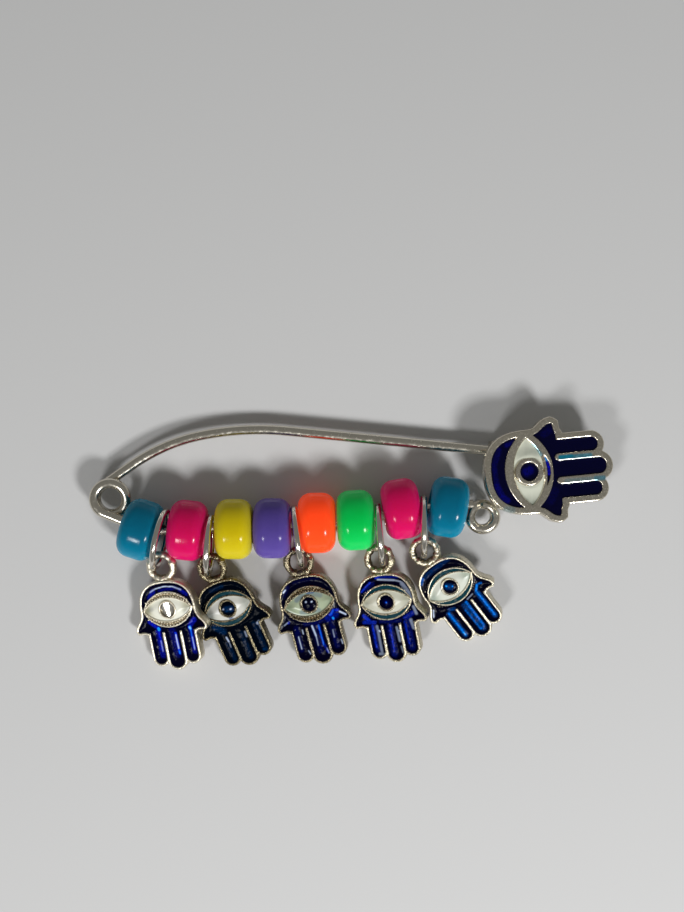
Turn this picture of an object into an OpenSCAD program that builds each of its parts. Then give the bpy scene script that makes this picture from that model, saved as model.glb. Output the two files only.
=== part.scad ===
// A safety pin with a hand-shaped enamel head, eight beads and five hand charms, lying on a table.
// Millimetres. X runs along the pin to its head, Z points up, and the table is at z = 0.
// The origin is on the table, under the middle of the whole pin.

/* [Pin wire] */
// Diameter of the spring wire
wire_d = 1.5; // [1.4:0.02:1.5]
// Radius of the spring coil, to the middle of the wire
coil_r = 2.35; // [2.3:0.05:2.4]
// Height of the bar's middle line above the table
bar_z = 3.75; // [3.7:0.05:3.8]
// How far the arm's turn of the coil lies below the bar's turn
coil_pitch = 1.6; // [1.55:0.01:1.65]
// Radius of the closed loop at the bar's other end, to the middle of the wire
loop_r = 1.9; // [1.85:0.05:1.95]
// How far the loop's second turn lies below the first
loop_pitch = 1.2; // [1.1:0.05:1.3]
// Length of the taper at the point of the arm
point_l = 4; // [3:0.5:6]

/* [Beads] */
// Outer diameter of a bead
bead_d = 9; // [8.9:0.1:9]
// Length of a bead along its hole
bead_l = 5.7; // [5.5:0.05:5.7]
// Diameter of the hole through a bead
bead_hole_d = 4; // [4:0.1:4.2]
// Radius that rounds a bead's outer edges
bead_round = 2.3; // [2:0.1:2.3]

/* [Jump rings] */
// Radius of a jump ring, to the middle of its wire
ring_r = 4.3; // [4.3:0.05:4.35]
// Diameter of a jump ring's wire
ring_wire_d = 0.92; // [0.8:0.02:0.92]

/* [Head] */
// Thickness of the cast head
head_t = 2.2; // [2:0.1:2.4]
// Height of the head's underside at its eye
head_z = 4.6; // [4.6:0.1:4.9]

/* [Charms] */
// Thickness of a charm
charm_t = 2; // [1.8:0.1:2]
// Outer radius of the loop at a charm's top
bail_r = 2.2; // [2.1:0.05:2.2]
// Radius of the hole in that loop
bail_hole_r = 1.35; // [1.3:0.05:1.4]
// Height of that loop's wall
bail_h = 1.3; // [1.1:0.1:1.3]
// How far the loop runs into the palm
bail_sunk = 0.2; // [0.1:0.05:0.25]

/* [Enamel] */
// Depth of the cells that hold the enamel
cell_depth = 0.8; // [0.6:0.1:0.9]
// How far the enamel lies below the metal rims
enamel_drop = 0.12; // [0.05:0.01:0.2]
// Gap round each filling
enamel_gap = 0.03; // [0.02:0.01:0.05]

/* [Hidden] */
$fn = 48;
// Each stretch of wire runs this far into the next, and every second one is this much thinner
wire_overlap = 0.05;
wire_step = 0.02;

// The coil's middle, the angle where the bar leaves it and the angle where the arm leaves it
coil_at = [-36.02, 6.73];
bar_leaves = 248;
arm_leaves = 125;
// A turn of the coil stops this many degrees short of a whole circle
turn_short = 14;

// The bar from the coil to the loop: each row is a length and the angle that the wire bends through in it
bar_rows = [[4.02, 0], [6, 25], [26.7, 0], [3, 6], [9, 0], [8.72, -9]];
// The arm from the coil to its taper, in the same way
arm_rows = [[5.45, 0], [11.5, -23.7], [13, -16.8], [33.1, 0]];

// Bead places: x, y, the turn of the hole's axis about Z, and the colour
BEAD_X = 0;
BEAD_Y = 1;
BEAD_TURN = 2;
BEAD_COLOUR = 3;
bead_rows = [
    [-31.25, 2.17, -17.9, "#005a73"],
    [-24.27, 2.06, -6.4, "#c4104f"],
    [-17.34, 2.24, -0.3, "#cdbd1e"],
    [-11.59, 2.36, 0.2, "#5b4890"],
    [-4.96, 3.17, 1, "#fb4a22"],
    [0.83, 3.57, 2.9, "#16b455"],
    [7.68, 5.26, 9.3, "#c4104f"],
    [14.57, 5.54, -9.6, "#005a73"]
];

// Ring places: x, y, the turn about Z, the lean of the ring's top towards +X,
// the angle of its cut round the ring from the side nearest the charm, and the width of the cut
RING_X = 0;
RING_Y = 1;
RING_TURN = 2;
RING_LEAN = 3;
RING_CUT_AT = 4;
RING_CUT_W = 5;
ring_rows = [
    [-28.23, 0.72, -11.4, -3.9, 250, 0.1],
    [-20.93, -0.19, -3.3, -0.4, 230, 0.1],
    [-7.82, 1.15, 7.4, 1, 260, 0.1],
    [4.48, 1.44, 5, -2.2, 160, 0.35],
    [10.99, 2.65, 0.1, -2.6, 172, 0.25]
];

// Charm places: x and y of the middle of the eye, the turn about Z, how far the loop end is raised,
// how far the left side is lowered, and 1 where the iris is filled with blue enamel
CHARM_X = 0;
CHARM_Y = 1;
CHARM_TURN = 2;
CHARM_RAISED = 3;
CHARM_ROLLED = 4;
CHARM_BLUE_IRIS = 5;
charm_rows = [
    [-27.32, -10.06, 7.9, 7.8, -15.7, 0],
    [-18.26, -9.9, 21.2, 7.4, -14.2, 1],
    [-6.13, -9.32, 14.2, 5.2, -9.6, 1],
    [5.43, -8.96, 9, 7.7, -17.2, 1],
    [15.09, -6.61, 35.7, 7.3, -16.4, 1]
];
// A charm's lowest corner is this far above the table
table_gap = 0.02;

// A hand's shape, fingers down and the middle of its eye at the origin. Columns: the palm's top and half
// width, the power of its rounding, the thumb's tip and its rounding, the notch under the thumb, the rim's
// width, the eyelids' half length and half height, the white's half length and half height, the iris ring's
// radius and its dot's, the ridges' place, width and upper end, and the outer and middle fingers' tips
TOP = 0;
HALF_W = 1;
POWER = 2;
THUMB = 3;
THUMB_ROUND = 4;
NOTCH = 5;
RIM = 6;
LID = 7;
WHITE = 8;
IRIS_R = 9;
DOT_R = 10;
RIDGE_X = 11;
RIDGE_W = 12;
RIDGE_TOP = 13;
TIP_OUTER = 14;
TIP_MIDDLE = 15;
SIDE = 16;
head_hand = [
    6.9, 6.25, 2.5, [8, -4], 0.75, [5.6, -5.3], 0.95, [6, 3.6], [5, 2.25],
    1.75, 1.36, 1.68, 0.85, -4, -11.5, -12.5, 5.2
];
charm_hand = [
    4.65, 4.5, 2.2, [5.85, -3.05], 0.45, [4, -3.85], 0.4, [4.2, 2.7], [3.8, 1.9],
    1.33, 1.03, 1.36, 0.4, -4.05, -8.45, -9.15, 3.8
];

// The head: place of its eye, then its tilts about X and Y and its turn about Z
head_at = [26.48, 10.7];
head_turn = [-3, 5, 5.5];
// A narrow blue slit in the eyelid next to the fingers: its inner and outer half heights and its half length
slit_in = 2.45;
slit_out = 3.1;
slit_half_l = 2.1;

// The catch on the head's back: its length along the arm, its wall, how far along the arm from the coil it
// sits, the clearance round the arm and how far its lip reaches under the arm
catch_l = 4;
catch_wall = 0.6;
catch_at = 62.5;
catch_clear = 0.06;
catch_lip = 1.1;

// The bar's end is brazed this far inside the loop's own wire
loop_inset = 0.08;

// The solder that joins the loop to the head: radius and place from the loop's middle
solder_r = 0.95;
solder_from_loop = [1.75, 1.75];

arm_z = bar_z - coil_pitch;
arm_d = wire_d;

// Points on a quarter of a rounded outline from the top to the side
function quarter(w, h, power, n = 10) = [
    for (i = [0:n])
        let (a = 90 - 90 * i / n)
        [w * pow(max(cos(a), 0), 2 / power), h * pow(max(sin(a), 0), 2 / power)]
];

// Points on a curve between two ends, pulled by two handles
function curve(a, b, c, d, n) = [
    for (i = [1:n])
        let (t = i / n, s = 1 - t)
        s * s * s * a + 3 * s * s * t * b + 3 * s * t * t * c + t * t * t * d
];

// Right half of the palm and thumb, from the top down to the notch, drawn in by a rim
function palm_half(hand, rim) =
    let (
        side = hand[HALF_W] - rim,
        tip = hand[THUMB] + rim * [-1.5, 0.2],
        notch = hand[NOTCH] + rim * [-1.1, 0.9],
        r = hand[THUMB_ROUND] * (rim > 0 ? 0.5 : 1),
        before = tip + r * [-0.3, 1],
        after = tip + r * [-0.9, -0.5]
    )
    concat(
        quarter(side, hand[TOP] - rim, hand[POWER]),
        curve([side, 0], [side, tip[1] * 0.4], before + [-0.12, 0.3] * hand[THUMB_ROUND] * 4, before, 6),
        curve(before, tip, tip, after, 4),
        curve(after, after + [-0.5, -0.1], notch + [0.35, 0.45], notch, 4)
    );

function mirrored(points) = [for (i = [len(points) - 1:-1:0]) [-points[i][0], points[i][1]]];

module palm(hand, rim) {
    half = palm_half(hand, rim);
    polygon(concat(half, mirrored(half)));
}

// A finger from the palm to a round tip
module finger(x, half_w, tip_y, from_y) {
    translate([x - half_w, tip_y + half_w])
        square([2 * half_w, from_y - tip_y - half_w]);
    translate([x, tip_y + half_w])
        circle(r = half_w);
}

// Three fingers, drawn in by a rim
module fingers(hand, rim) {
    middle_half = hand[RIDGE_X] - hand[RIDGE_W] / 2;
    outer_in = hand[RIDGE_X] + hand[RIDGE_W] / 2;
    outer_out = hand[SIDE] - hand[RIM];
    outer_x = (outer_in + outer_out) / 2;
    outer_half = (outer_out - outer_in) / 2;
    grow = hand[RIM] - rim;
    start = hand[NOTCH][1] + 1.5;
    for (s = [-1, 1])
        finger(s * outer_x, outer_half + grow, hand[TIP_OUTER] + rim, start);
    finger(0, middle_half + grow, hand[TIP_MIDDLE] + rim, start);
}

// A hand's plate, without its cells
module hand_plate(hand, t) {
    linear_extrude(t)
        palm(hand, 0);
    linear_extrude(t)
        fingers(hand, 0);
}

// An almond between two arcs: its half length along X and half height along Y
module almond(half_l, half_h) {
    r = (half_l * half_l + half_h * half_h) / (2 * half_h);
    intersection() {
        translate([0, half_h - r])
            circle(r = r, $fn = 96);
        translate([0, r - half_h])
            circle(r = r, $fn = 96);
    }
}

// The ridges between the fingers
module ridges(hand, gap) {
    half_w = hand[RIDGE_W] / 2 + gap;
    for (s = [-1, 1]) {
        translate([s * hand[RIDGE_X] - half_w, hand[TIP_MIDDLE]])
            square([2 * half_w, hand[RIDGE_TOP] - hand[TIP_MIDDLE]]);
        translate([s * hand[RIDGE_X], hand[RIDGE_TOP]])
            circle(r = half_w);
    }
}

// The blue enamel round the eye and along the fingers, of a given height and drawn in by a gap
module blue_body(hand, gap, h) {
    difference() {
        union() {
            linear_extrude(h)
                palm(hand, hand[RIM] + gap);
            linear_extrude(h)
                fingers(hand, hand[RIM] + gap);
        }
        translate([0, 0, -1])
            linear_extrude(h + 2)
                almond(hand[LID][0] + gap, hand[LID][1] + gap);
        translate([0, 0, -1])
            linear_extrude(h + 2)
                ridges(hand, gap);
    }
}

// The white of the eye round the iris ring
module white_body(hand, gap, h) {
    linear_extrude(h)
        difference() {
            almond(hand[WHITE][0] - gap, hand[WHITE][1] - gap);
            circle(r = hand[IRIS_R] + gap);
        }
}

module iris_dot(hand, gap, h) {
    cylinder(r = hand[DOT_R] - gap, h = h);
}

// The slit in the head's lower eyelid
module eyelid_slit(gap, h) {
    half_l = head_hand[LID][0];
    linear_extrude(h)
        intersection() {
            difference() {
                almond(half_l, slit_out - gap);
                almond(half_l, slit_in + gap);
            }
            translate([-slit_half_l + gap, -slit_out])
                square([2 * (slit_half_l - gap), slit_out]);
        }
}

// Height of a cut that opens a cell at the top of a plate, and of the filling that lies in it
cut_h = cell_depth + 1;
fill_h = cell_depth - enamel_gap - enamel_drop;

module at_cell_floor(t) {
    translate([0, 0, t - cell_depth])
        children();
}

module at_fill_floor(t) {
    translate([0, 0, t - cell_depth + enamel_gap])
        children();
}

// Direction of the wire after the first rows of a run
function heading(rows, start, n) = n == 0 ? start : heading(rows, start, n - 1) + rows[n - 1][1];

// Where the wire is after the first rows of a run
function arc_step(len, turn, h) =
    turn == 0
        ? len * [cos(h), sin(h)]
        : let (r = len / (turn * PI / 180))
            r * [sin(h + turn) - sin(h), cos(h) - cos(h + turn)];
function run_point(rows, start, at, n) =
    n == 0 ? at : run_point(rows, start, at, n - 1)
        + arc_step(rows[n - 1][0], rows[n - 1][1], heading(rows, start, n - 1));

// Straight and bent stretches of wire that follow each other in one plane
module wire_run(rows, start, at, d) {
    for (n = [0:len(rows) - 1]) {
        h = heading(rows, start, n);
        p = run_point(rows, start, at, n);
        here_d = d - (n % 2 == 0 ? wire_step : 0);
        translate([p[0], p[1], 0])
            rotate([0, 0, h])
                if (rows[n][1] == 0)
                    rotate([0, 90, 0])
                        translate([0, 0, -wire_overlap])
                            cylinder(d = here_d, h = rows[n][0] + wire_overlap);
                else
                    bend(rows[n][0], rows[n][1], here_d);
    }
}

// A bent stretch that starts at the origin along +X
module bend(len, turn, d) {
    r = len / (abs(turn) * PI / 180);
    side = turn > 0 ? 1 : -1;
    more = wire_overlap / r * 180 / PI;
    translate([0, side * r, 0])
        rotate([0, 0, turn > 0 ? -90 - more : 90 + turn])
            rotate_extrude(angle = abs(turn) + more, $fn = 180)
                translate([r, 0])
                    circle(d = d, $fn = 32);
}

// One turn of the coil that ends at an angle, counted anticlockwise
module coil_turn(from, sweep, z) {
    translate([coil_at[0], coil_at[1], z])
        rotate([0, 0, from])
            rotate_extrude(angle = sweep, $fn = 96)
                translate([coil_r, 0])
                    circle(d = wire_d, $fn = 32);
}

function on_coil(a) = coil_at + coil_r * [cos(a), sin(a)];

bar_start = on_coil(bar_leaves);
bar_heading = bar_leaves + 90;
bar_end = run_point(bar_rows, bar_heading, bar_start, len(bar_rows));
loop_at = bar_end - [0, loop_r - loop_inset];
arm_start = on_coil(arm_leaves);
arm_heading = arm_leaves - 90;
arm_end = run_point(arm_rows, arm_heading, arm_start, len(arm_rows));
arm_end_heading = heading(arm_rows, arm_heading, len(arm_rows));

// The bar with the coil's upper turn and the closed loop
module bar() {
    sweep = 360 - turn_short;
    coil_turn(bar_leaves - sweep, sweep, bar_z);
    translate([0, 0, bar_z])
        wire_run(bar_rows, bar_heading, bar_start, wire_d);
    translate([loop_at[0], loop_at[1], bar_z - loop_pitch])
        rotate_extrude($fn = 96)
            loop_section();
}

// Two turns of wire, one on the other, with the solder between them
module loop_section() {
    for (k = [0, 1])
        translate([loop_r, k * loop_pitch])
            circle(d = wire_d, $fn = 32);
    translate([loop_r - wire_d * 0.35, 0])
        square([wire_d * 0.7, loop_pitch]);
}

// Moves a shape from the head's own frame to its place
module place_head() {
    translate([head_at[0], head_at[1], head_z])
        rotate(head_turn)
            rotate([0, 0, 90])
                children();
}

// The hook behind the head: open towards the bar, with the arm resting inside its wall
module catch_hook() {
    reach = arm_d / 2 + catch_clear;
    low = arm_z - reach - catch_wall;
    high = head_z + 0.9;
    p = arm_end - (arm_length - catch_at) * [cos(arm_end_heading), sin(arm_end_heading)];
    translate([p[0], p[1], 0])
        rotate([0, 0, arm_end_heading])
            rotate([90, 0, 90])
                linear_extrude(catch_l, center = true)
                    polygon([
                        [reach + catch_wall, low],
                        [reach + catch_wall, high],
                        [reach - 0.5, high],
                        [reach, high - 0.6],
                        [reach, low + catch_wall],
                        [-catch_lip, low + catch_wall],
                        [-catch_lip, low]
                    ]);
}

function total(rows, n) = n == 0 ? 0 : rows[n - 1][0] + total(rows, n - 1);
arm_length = total(arm_rows, len(arm_rows));

module pin_frame() {
    color("#a9a499") {
        bar();
        catch_hook();
        translate([loop_at[0] + solder_from_loop[0], loop_at[1] + solder_from_loop[1], bar_z - loop_pitch])
            cylinder(r = solder_r, h = head_z + 1.1 - bar_z + loop_pitch);
        place_head()
            difference() {
                hand_plate(head_hand, head_t);
                at_cell_floor(head_t) {
                    blue_body(head_hand, 0, cut_h);
                    white_body(head_hand, 0, cut_h);
                    iris_dot(head_hand, 0, cut_h);
                    eyelid_slit(0, cut_h);
                }
            }
    }
}

module pin_arm() {
    color("#a9a499") {
        coil_turn(arm_leaves, 360 - turn_short, arm_z);
        translate([0, 0, arm_z])
            wire_run(arm_rows, arm_heading, arm_start, arm_d);
        translate([arm_end[0], arm_end[1], arm_z])
            rotate([0, 0, arm_end_heading])
                rotate([0, 90, 0])
                    translate([0, 0, -wire_overlap])
                        cylinder(d1 = arm_d - 2 * wire_step, d2 = 0.2, h = point_l + wire_overlap);
    }
}

module head_blue_enamel() {
    color("#05072b")
        place_head()
            at_fill_floor(head_t) {
                blue_body(head_hand, enamel_gap, fill_h);
                iris_dot(head_hand, enamel_gap, fill_h);
                eyelid_slit(enamel_gap, fill_h);
            }
}

module head_white_enamel() {
    color("#d9dccb")
        place_head()
            at_fill_floor(head_t)
                white_body(head_hand, enamel_gap, fill_h);
}

// Section of a bead: its hole's wall, its rounded ends and its outside
module bead_section() {
    hole_r = bead_hole_d / 2;
    out_r = bead_d / 2;
    half_l = bead_l / 2;
    n = 8;
    intersection() {
        translate([hole_r, -half_l])
            square([out_r - hole_r, bead_l]);
        union() {
            translate([hole_r - 1, bead_round - half_l])
                square([out_r - hole_r + 1, bead_l - 2 * bead_round]);
            translate([hole_r - 1, -half_l])
                square([out_r - bead_round - hole_r + 1, bead_l]);
            for (s = [-1, 1])
                translate([out_r - bead_round, s * (half_l - bead_round)])
                    circle(r = bead_round, $fn = 64);
        }
    }
}

module bead(row) {
    color(row[BEAD_COLOUR])
        translate([row[BEAD_X], row[BEAD_Y], bead_d / 2])
            rotate([0, 0, row[BEAD_TURN]])
                rotate([0, 90, 0])
                    rotate_extrude($fn = 96)
                        bead_section();
}

// A ring stands on the table: +Y is the bar's side of it and -Y the charm's
module jump_ring(row) {
    cut = row[RING_CUT_W] / ring_r * 180 / PI;
    z = ring_r * cos(row[RING_LEAN]) + ring_wire_d / 2 + table_gap;
    color("#c9c6bd")
        translate([row[RING_X], row[RING_Y], z])
            rotate([0, 0, row[RING_TURN]])
                rotate([0, row[RING_LEAN], 0])
                    rotate([90, 0, -90])
                        rotate([0, 0, row[RING_CUT_AT] + cut / 2])
                            rotate_extrude(angle = 360 - cut, $fn = 96)
                                translate([ring_r, 0])
                                    circle(d = ring_wire_d, $fn = 32);
}

// The height of a point of a charm above its eye, once it is tilted
function tilted_z(row, p) =
    -sin(row[CHARM_ROLLED]) * p[0]
    + cos(row[CHARM_ROLLED]) * (sin(row[CHARM_RAISED]) * p[1] + cos(row[CHARM_RAISED]) * p[2]);

// The points of a charm that can be its lowest: the thumb's side, and the outer finger's round tip
outer_finger_r = (charm_hand[SIDE] - charm_hand[RIDGE_X] - charm_hand[RIDGE_W] / 2 + charm_hand[RIM]) / 2;
low_points = concat(
    [for (p = palm_half(charm_hand, 0)) [-p[0], p[1], -charm_t]],
    [for (a = [180:10:270]) [
        -charm_hand[SIDE] + outer_finger_r * (1 + cos(a)),
        charm_hand[TIP_OUTER] + outer_finger_r * (1 + sin(a)),
        -charm_t
    ]]
);

function eye_z(row) = table_gap - min([for (p = low_points) tilted_z(row, p)]);

// Moves a shape from a charm's own frame, its back at z = 0, to its place
module place_charm(row) {
    translate([row[CHARM_X], row[CHARM_Y], eye_z(row)])
        rotate([row[CHARM_RAISED], row[CHARM_ROLLED], row[CHARM_TURN]])
            translate([0, 0, -charm_t])
                children();
}

bail_y = charm_hand[TOP] + bail_r - bail_sunk;

// The loop at a charm's top, with a round hole
module bail() {
    z = (charm_t - bail_h) / 2;
    translate([0, bail_y, z])
        cylinder(r = bail_r, h = bail_h);
    translate([-1.1, charm_hand[TOP] - 0.6, z])
        cube([2.2, 1.1, bail_h]);
}

module bail_hole() {
    translate([0, bail_y, -1])
        cylinder(r = bail_hole_r, h = charm_t + 2);
}

module charm(row) {
    color("#b3ada0")
        place_charm(row)
            difference() {
                union() {
                    hand_plate(charm_hand, charm_t);
                    bail();
                }
                bail_hole();
                at_cell_floor(charm_t) {
                    blue_body(charm_hand, 0, cut_h);
                    white_body(charm_hand, 0, cut_h);
                    if (row[CHARM_BLUE_IRIS] == 1)
                        iris_dot(charm_hand, 0, cut_h);
                }
            }
}

module charm_blue_enamel(row) {
    color("#0a1a6e")
        place_charm(row)
            at_fill_floor(charm_t) {
                blue_body(charm_hand, enamel_gap, fill_h);
                if (row[CHARM_BLUE_IRIS] == 1)
                    iris_dot(charm_hand, enamel_gap, fill_h);
            }
}

module charm_white_enamel(row) {
    color("#d9dccb")
        place_charm(row)
            at_fill_floor(charm_t)
                white_body(charm_hand, enamel_gap, fill_h);
}

pin_frame();
pin_arm();
head_blue_enamel();
head_white_enamel();
bead(bead_rows[0]);  // bead_1_teal
bead(bead_rows[1]);  // bead_2_pink
bead(bead_rows[2]);  // bead_3_yellow
bead(bead_rows[3]);  // bead_4_purple
bead(bead_rows[4]);  // bead_5_orange
bead(bead_rows[5]);  // bead_6_green
bead(bead_rows[6]);  // bead_7_pink
bead(bead_rows[7]);  // bead_8_teal
jump_ring(ring_rows[0]);  // jump_ring_1
jump_ring(ring_rows[1]);  // jump_ring_2
jump_ring(ring_rows[2]);  // jump_ring_3
jump_ring(ring_rows[3]);  // jump_ring_4
jump_ring(ring_rows[4]);  // jump_ring_5
charm(charm_rows[0]);  // charm_1
charm_blue_enamel(charm_rows[0]);  // charm_1_blue_enamel
charm_white_enamel(charm_rows[0]);  // charm_1_white_enamel
charm(charm_rows[1]);  // charm_2
charm_blue_enamel(charm_rows[1]);  // charm_2_blue_enamel
charm_white_enamel(charm_rows[1]);  // charm_2_white_enamel
charm(charm_rows[2]);  // charm_3
charm_blue_enamel(charm_rows[2]);  // charm_3_blue_enamel
charm_white_enamel(charm_rows[2]);  // charm_3_white_enamel
charm(charm_rows[3]);  // charm_4
charm_blue_enamel(charm_rows[3]);  // charm_4_blue_enamel
charm_white_enamel(charm_rows[3]);  // charm_4_white_enamel
charm(charm_rows[4]);  // charm_5
charm_blue_enamel(charm_rows[4]);  // charm_5_blue_enamel
charm_white_enamel(charm_rows[4]);  // charm_5_white_enamel
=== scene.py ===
# %% [markdown]
# # A charm pin on a pale table
# A safety pin of nickel-plated wire lies flat. Its head is a cast hand with enamel in its cells, and eight
# plastic beads and five small enamelled hands hang along its bar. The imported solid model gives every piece
# its place. This script keeps its jump rings and plates them. It builds the other pieces again, with the
# worn edges and the relief that a solid model leaves out.

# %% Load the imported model
import math

import bmesh
import bpy
import numpy as np
from mathutils import Euler, Matrix, Vector


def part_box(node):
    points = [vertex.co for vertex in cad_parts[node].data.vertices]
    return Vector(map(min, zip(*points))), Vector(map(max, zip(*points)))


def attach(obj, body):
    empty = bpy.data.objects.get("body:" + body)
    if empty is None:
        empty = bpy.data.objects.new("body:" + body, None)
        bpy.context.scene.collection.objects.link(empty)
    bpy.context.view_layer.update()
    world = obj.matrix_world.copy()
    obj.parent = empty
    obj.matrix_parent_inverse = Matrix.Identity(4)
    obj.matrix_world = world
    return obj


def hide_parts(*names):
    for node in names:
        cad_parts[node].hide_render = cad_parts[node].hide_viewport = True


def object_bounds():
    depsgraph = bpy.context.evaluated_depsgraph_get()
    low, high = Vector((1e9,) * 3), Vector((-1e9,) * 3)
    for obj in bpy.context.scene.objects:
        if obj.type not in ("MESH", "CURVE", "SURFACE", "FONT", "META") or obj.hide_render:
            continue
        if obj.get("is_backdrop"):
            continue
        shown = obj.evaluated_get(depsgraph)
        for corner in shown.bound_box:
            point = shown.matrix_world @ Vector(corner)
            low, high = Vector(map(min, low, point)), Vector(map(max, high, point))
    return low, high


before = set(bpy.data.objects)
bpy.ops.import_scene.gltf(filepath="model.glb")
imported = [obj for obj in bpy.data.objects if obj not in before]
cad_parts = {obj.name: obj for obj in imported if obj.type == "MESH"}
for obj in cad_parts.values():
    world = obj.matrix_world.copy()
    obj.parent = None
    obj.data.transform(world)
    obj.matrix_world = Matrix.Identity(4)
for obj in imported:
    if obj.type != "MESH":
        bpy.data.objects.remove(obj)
cad_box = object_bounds()
MM = 0.001
FRAME_BODY = "frame_with_beads"
ARM_BODY = "arm"

# %% [markdown]
# ## Camera
# The photo looks straight down on the pin from about 19 cm. A 50 mm lens on a 36 mm sensor gives its
# angle of view. The camera hangs over the middle of the frame, which is a little above the row of beads.

# %% Hang the camera over the table
CAMERA_MM = (-1.2, 13.15, 193.6)
lens = bpy.data.cameras.new("camera")
lens.lens = 50
lens.sensor_width = 36
lens.clip_start = 0.005
camera = bpy.data.objects.new("camera", lens)
camera.location = Vector(CAMERA_MM) * MM
bpy.context.collection.objects.link(camera)
bpy.context.scene.camera = camera
print("camera height in mm:", CAMERA_MM[2])

# %% [markdown]
# ## Colours and materials
# Every colour is written as the hex value that a paint program shows. Cycles works in linear light, so one
# function turns it. A second small function adds a node, sets it and links it, which keeps each material
# to a few lines. A third starts a material with its main shader.

# %% Helpers for colours and nodes
def linear(hex_colour):
    """A linear colour with alpha from an sRGB hex value."""
    values = [int(hex_colour[i:i + 2], 16) / 255 for i in (1, 3, 5)]
    return [v / 12.92 if v <= 0.04045 else ((v + 0.055) / 1.055) ** 2.4 for v in values] + [1.0]


def add(tree, kind, inputs=None, **settings):
    """Adds a node with its settings. Each input gets a value, or a link from another node's output."""
    made = tree.nodes.new(kind)
    for key, value in settings.items():
        setattr(made, key, value)
    for key, value in (inputs or {}).items():
        if isinstance(value, bpy.types.NodeSocket):
            tree.links.new(value, made.inputs[key])
        else:
            made.inputs[key].default_value = value
    return made


def start_material(name, **values):
    """A new material and its main shader, with values set on the shader's own sockets."""
    material = bpy.data.materials.new(name)
    material.use_nodes = True
    shader = material.node_tree.nodes["Principled BSDF"]
    for key, value in values.items():
        shader.inputs[key.replace("_", " ")].default_value = value
    return material, material.node_tree, shader


def per_mm(size_mm):
    """Texture scale that makes one feature of this size, where coordinates are in metres."""
    return 1 / (size_mm * MM)


bpy.context.scene.view_settings.view_transform = "Standard"
print("mid grey in linear light:", round(linear("#808080")[0], 3))

# %% [markdown]
# ## Table and light
# The table is plain and pale. Two soft lamps stand beyond the bottom of the picture, the right one twice as
# strong as the left one, so every piece has a pair of shadows and each bead a pair of highlights. The room
# around is a dim grey, which is what the flat nickel faces mirror.

# %% Table top
TABLE_REACH = 600
# The top lies a hair under the pin, so the two never flicker through each other
TABLE_Z = -0.03
floor_mesh = bpy.data.meshes.new("table_top")
corners = [(sx * TABLE_REACH * MM, sy * TABLE_REACH * MM, TABLE_Z * MM)
           for sx, sy in ((-1, -1), (1, -1), (1, 1), (-1, 1))]
floor_mesh.from_pydata(corners, [], [(0, 1, 2, 3)])
table_top = bpy.data.objects.new("table_top", floor_mesh)
bpy.context.collection.objects.link(table_top)
table_paint, tree, shader = start_material("pale_table_paint", Roughness=0.85)
shader.inputs["Base Color"].default_value = linear("#c9c9c9")
shader.inputs["Specular IOR Level"].default_value = 0.2
floor_mesh.materials.append(table_paint)
table_top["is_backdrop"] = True
print("table reach in mm:", TABLE_REACH)

# %% Lamps and the room
LAMP_DISTANCE = 500
LAMP_SIZE = 90


def lamp(name, direction, watts):
    """A square soft lamp that shines on the middle of the pin from a direction."""
    data = bpy.data.lights.new(name, "AREA")
    data.size = LAMP_SIZE * MM
    data.energy = watts
    made = bpy.data.objects.new(name, data)
    aim = Vector(direction).normalized()
    made.location = aim * LAMP_DISTANCE * MM
    made.rotation_euler = aim.to_track_quat("Z", "Y").to_euler()
    bpy.context.collection.objects.link(made)


lamp("left_lamp", (-0.5, -0.8, 1.0), 0.9)
lamp("right_lamp", (0.6, -0.8, 1.0), 1.75)
world = bpy.data.worlds.new("room")
world.use_nodes = True
world.node_tree.nodes["Background"].inputs["Color"].default_value = linear("#7b7b79")
bpy.context.scene.world = world
print("lamps:", len(bpy.data.lights))

# %% [markdown]
# ## Nickel plate
# The wire, rings and head are steel and zinc with a bright nickel plate. Polished nickel is a slightly warm
# mirror. An image of scratches could be wrapped round it, but rubbing has no one direction here, so a fine
# noise moves the roughness and the surface instead, which widens the highlights unevenly. On the castings a
# mask that the mesh carries tints the metal: teal on the head, old polish on the charms' eyelids and round
# their irises, and a painted shade inside the charms' loops.

# %% Nickel on wire and on the polished head
def nickel(name, colour, roughness, mark_mm, mark_height_mm, tint_and_shade=None):
    """Plated metal with marks of one size. The marks change both the roughness and the surface."""
    material, tree, shader = start_material(name, Metallic=1.0)
    if tint_and_shade:
        # The mask tints the metal: teal on the head, and brown polish with painted shade on the charms
        mask = add(tree, "ShaderNodeAttribute", attribute_name="tint_and_shade")
        skin = add(tree, "ShaderNodeMix", {"Factor": mask.outputs["Fac"], "A": linear(colour),
                                           "B": linear(tint_and_shade)}, data_type="RGBA")
        tree.links.new(skin.outputs["Result"], shader.inputs["Base Color"])
    else:
        shader.inputs["Base Color"].default_value = linear(colour)
    place = add(tree, "ShaderNodeTexCoord")
    marks = add(tree, "ShaderNodeTexNoise", {"Vector": place.outputs["Object"], "Scale": per_mm(mark_mm),
                                             "Detail": 4.0, "Roughness": 0.6})
    spread = add(tree, "ShaderNodeMapRange", {"Value": marks.outputs["Fac"], "From Min": 0.3, "From Max": 0.7,
                                              "To Min": roughness * 0.6, "To Max": roughness * 1.5})
    tree.links.new(spread.outputs["Result"], shader.inputs["Roughness"])
    bump = add(tree, "ShaderNodeBump", {"Height": marks.outputs["Fac"], "Strength": 1.0,
                                        "Distance": mark_height_mm * MM})
    tree.links.new(bump.outputs["Normal"], shader.inputs["Normal"])
    return material


drawn_wire_nickel = nickel("nickel_plated_steel_wire", "#d8d2c4", 0.2, 0.5, 0.005)
ring_nickel = nickel("nickel_plated_ring_wire", "#dcd7cd", 0.14, 0.4, 0.01)
head_nickel = nickel("nickel_plated_polished_casting", "#ddd5c4", 0.22, 0.35, 0.008, tint_and_shade="#2cc8ee")
print("metals:", [m.name for m in (drawn_wire_nickel, ring_nickel, head_nickel)])

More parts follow.
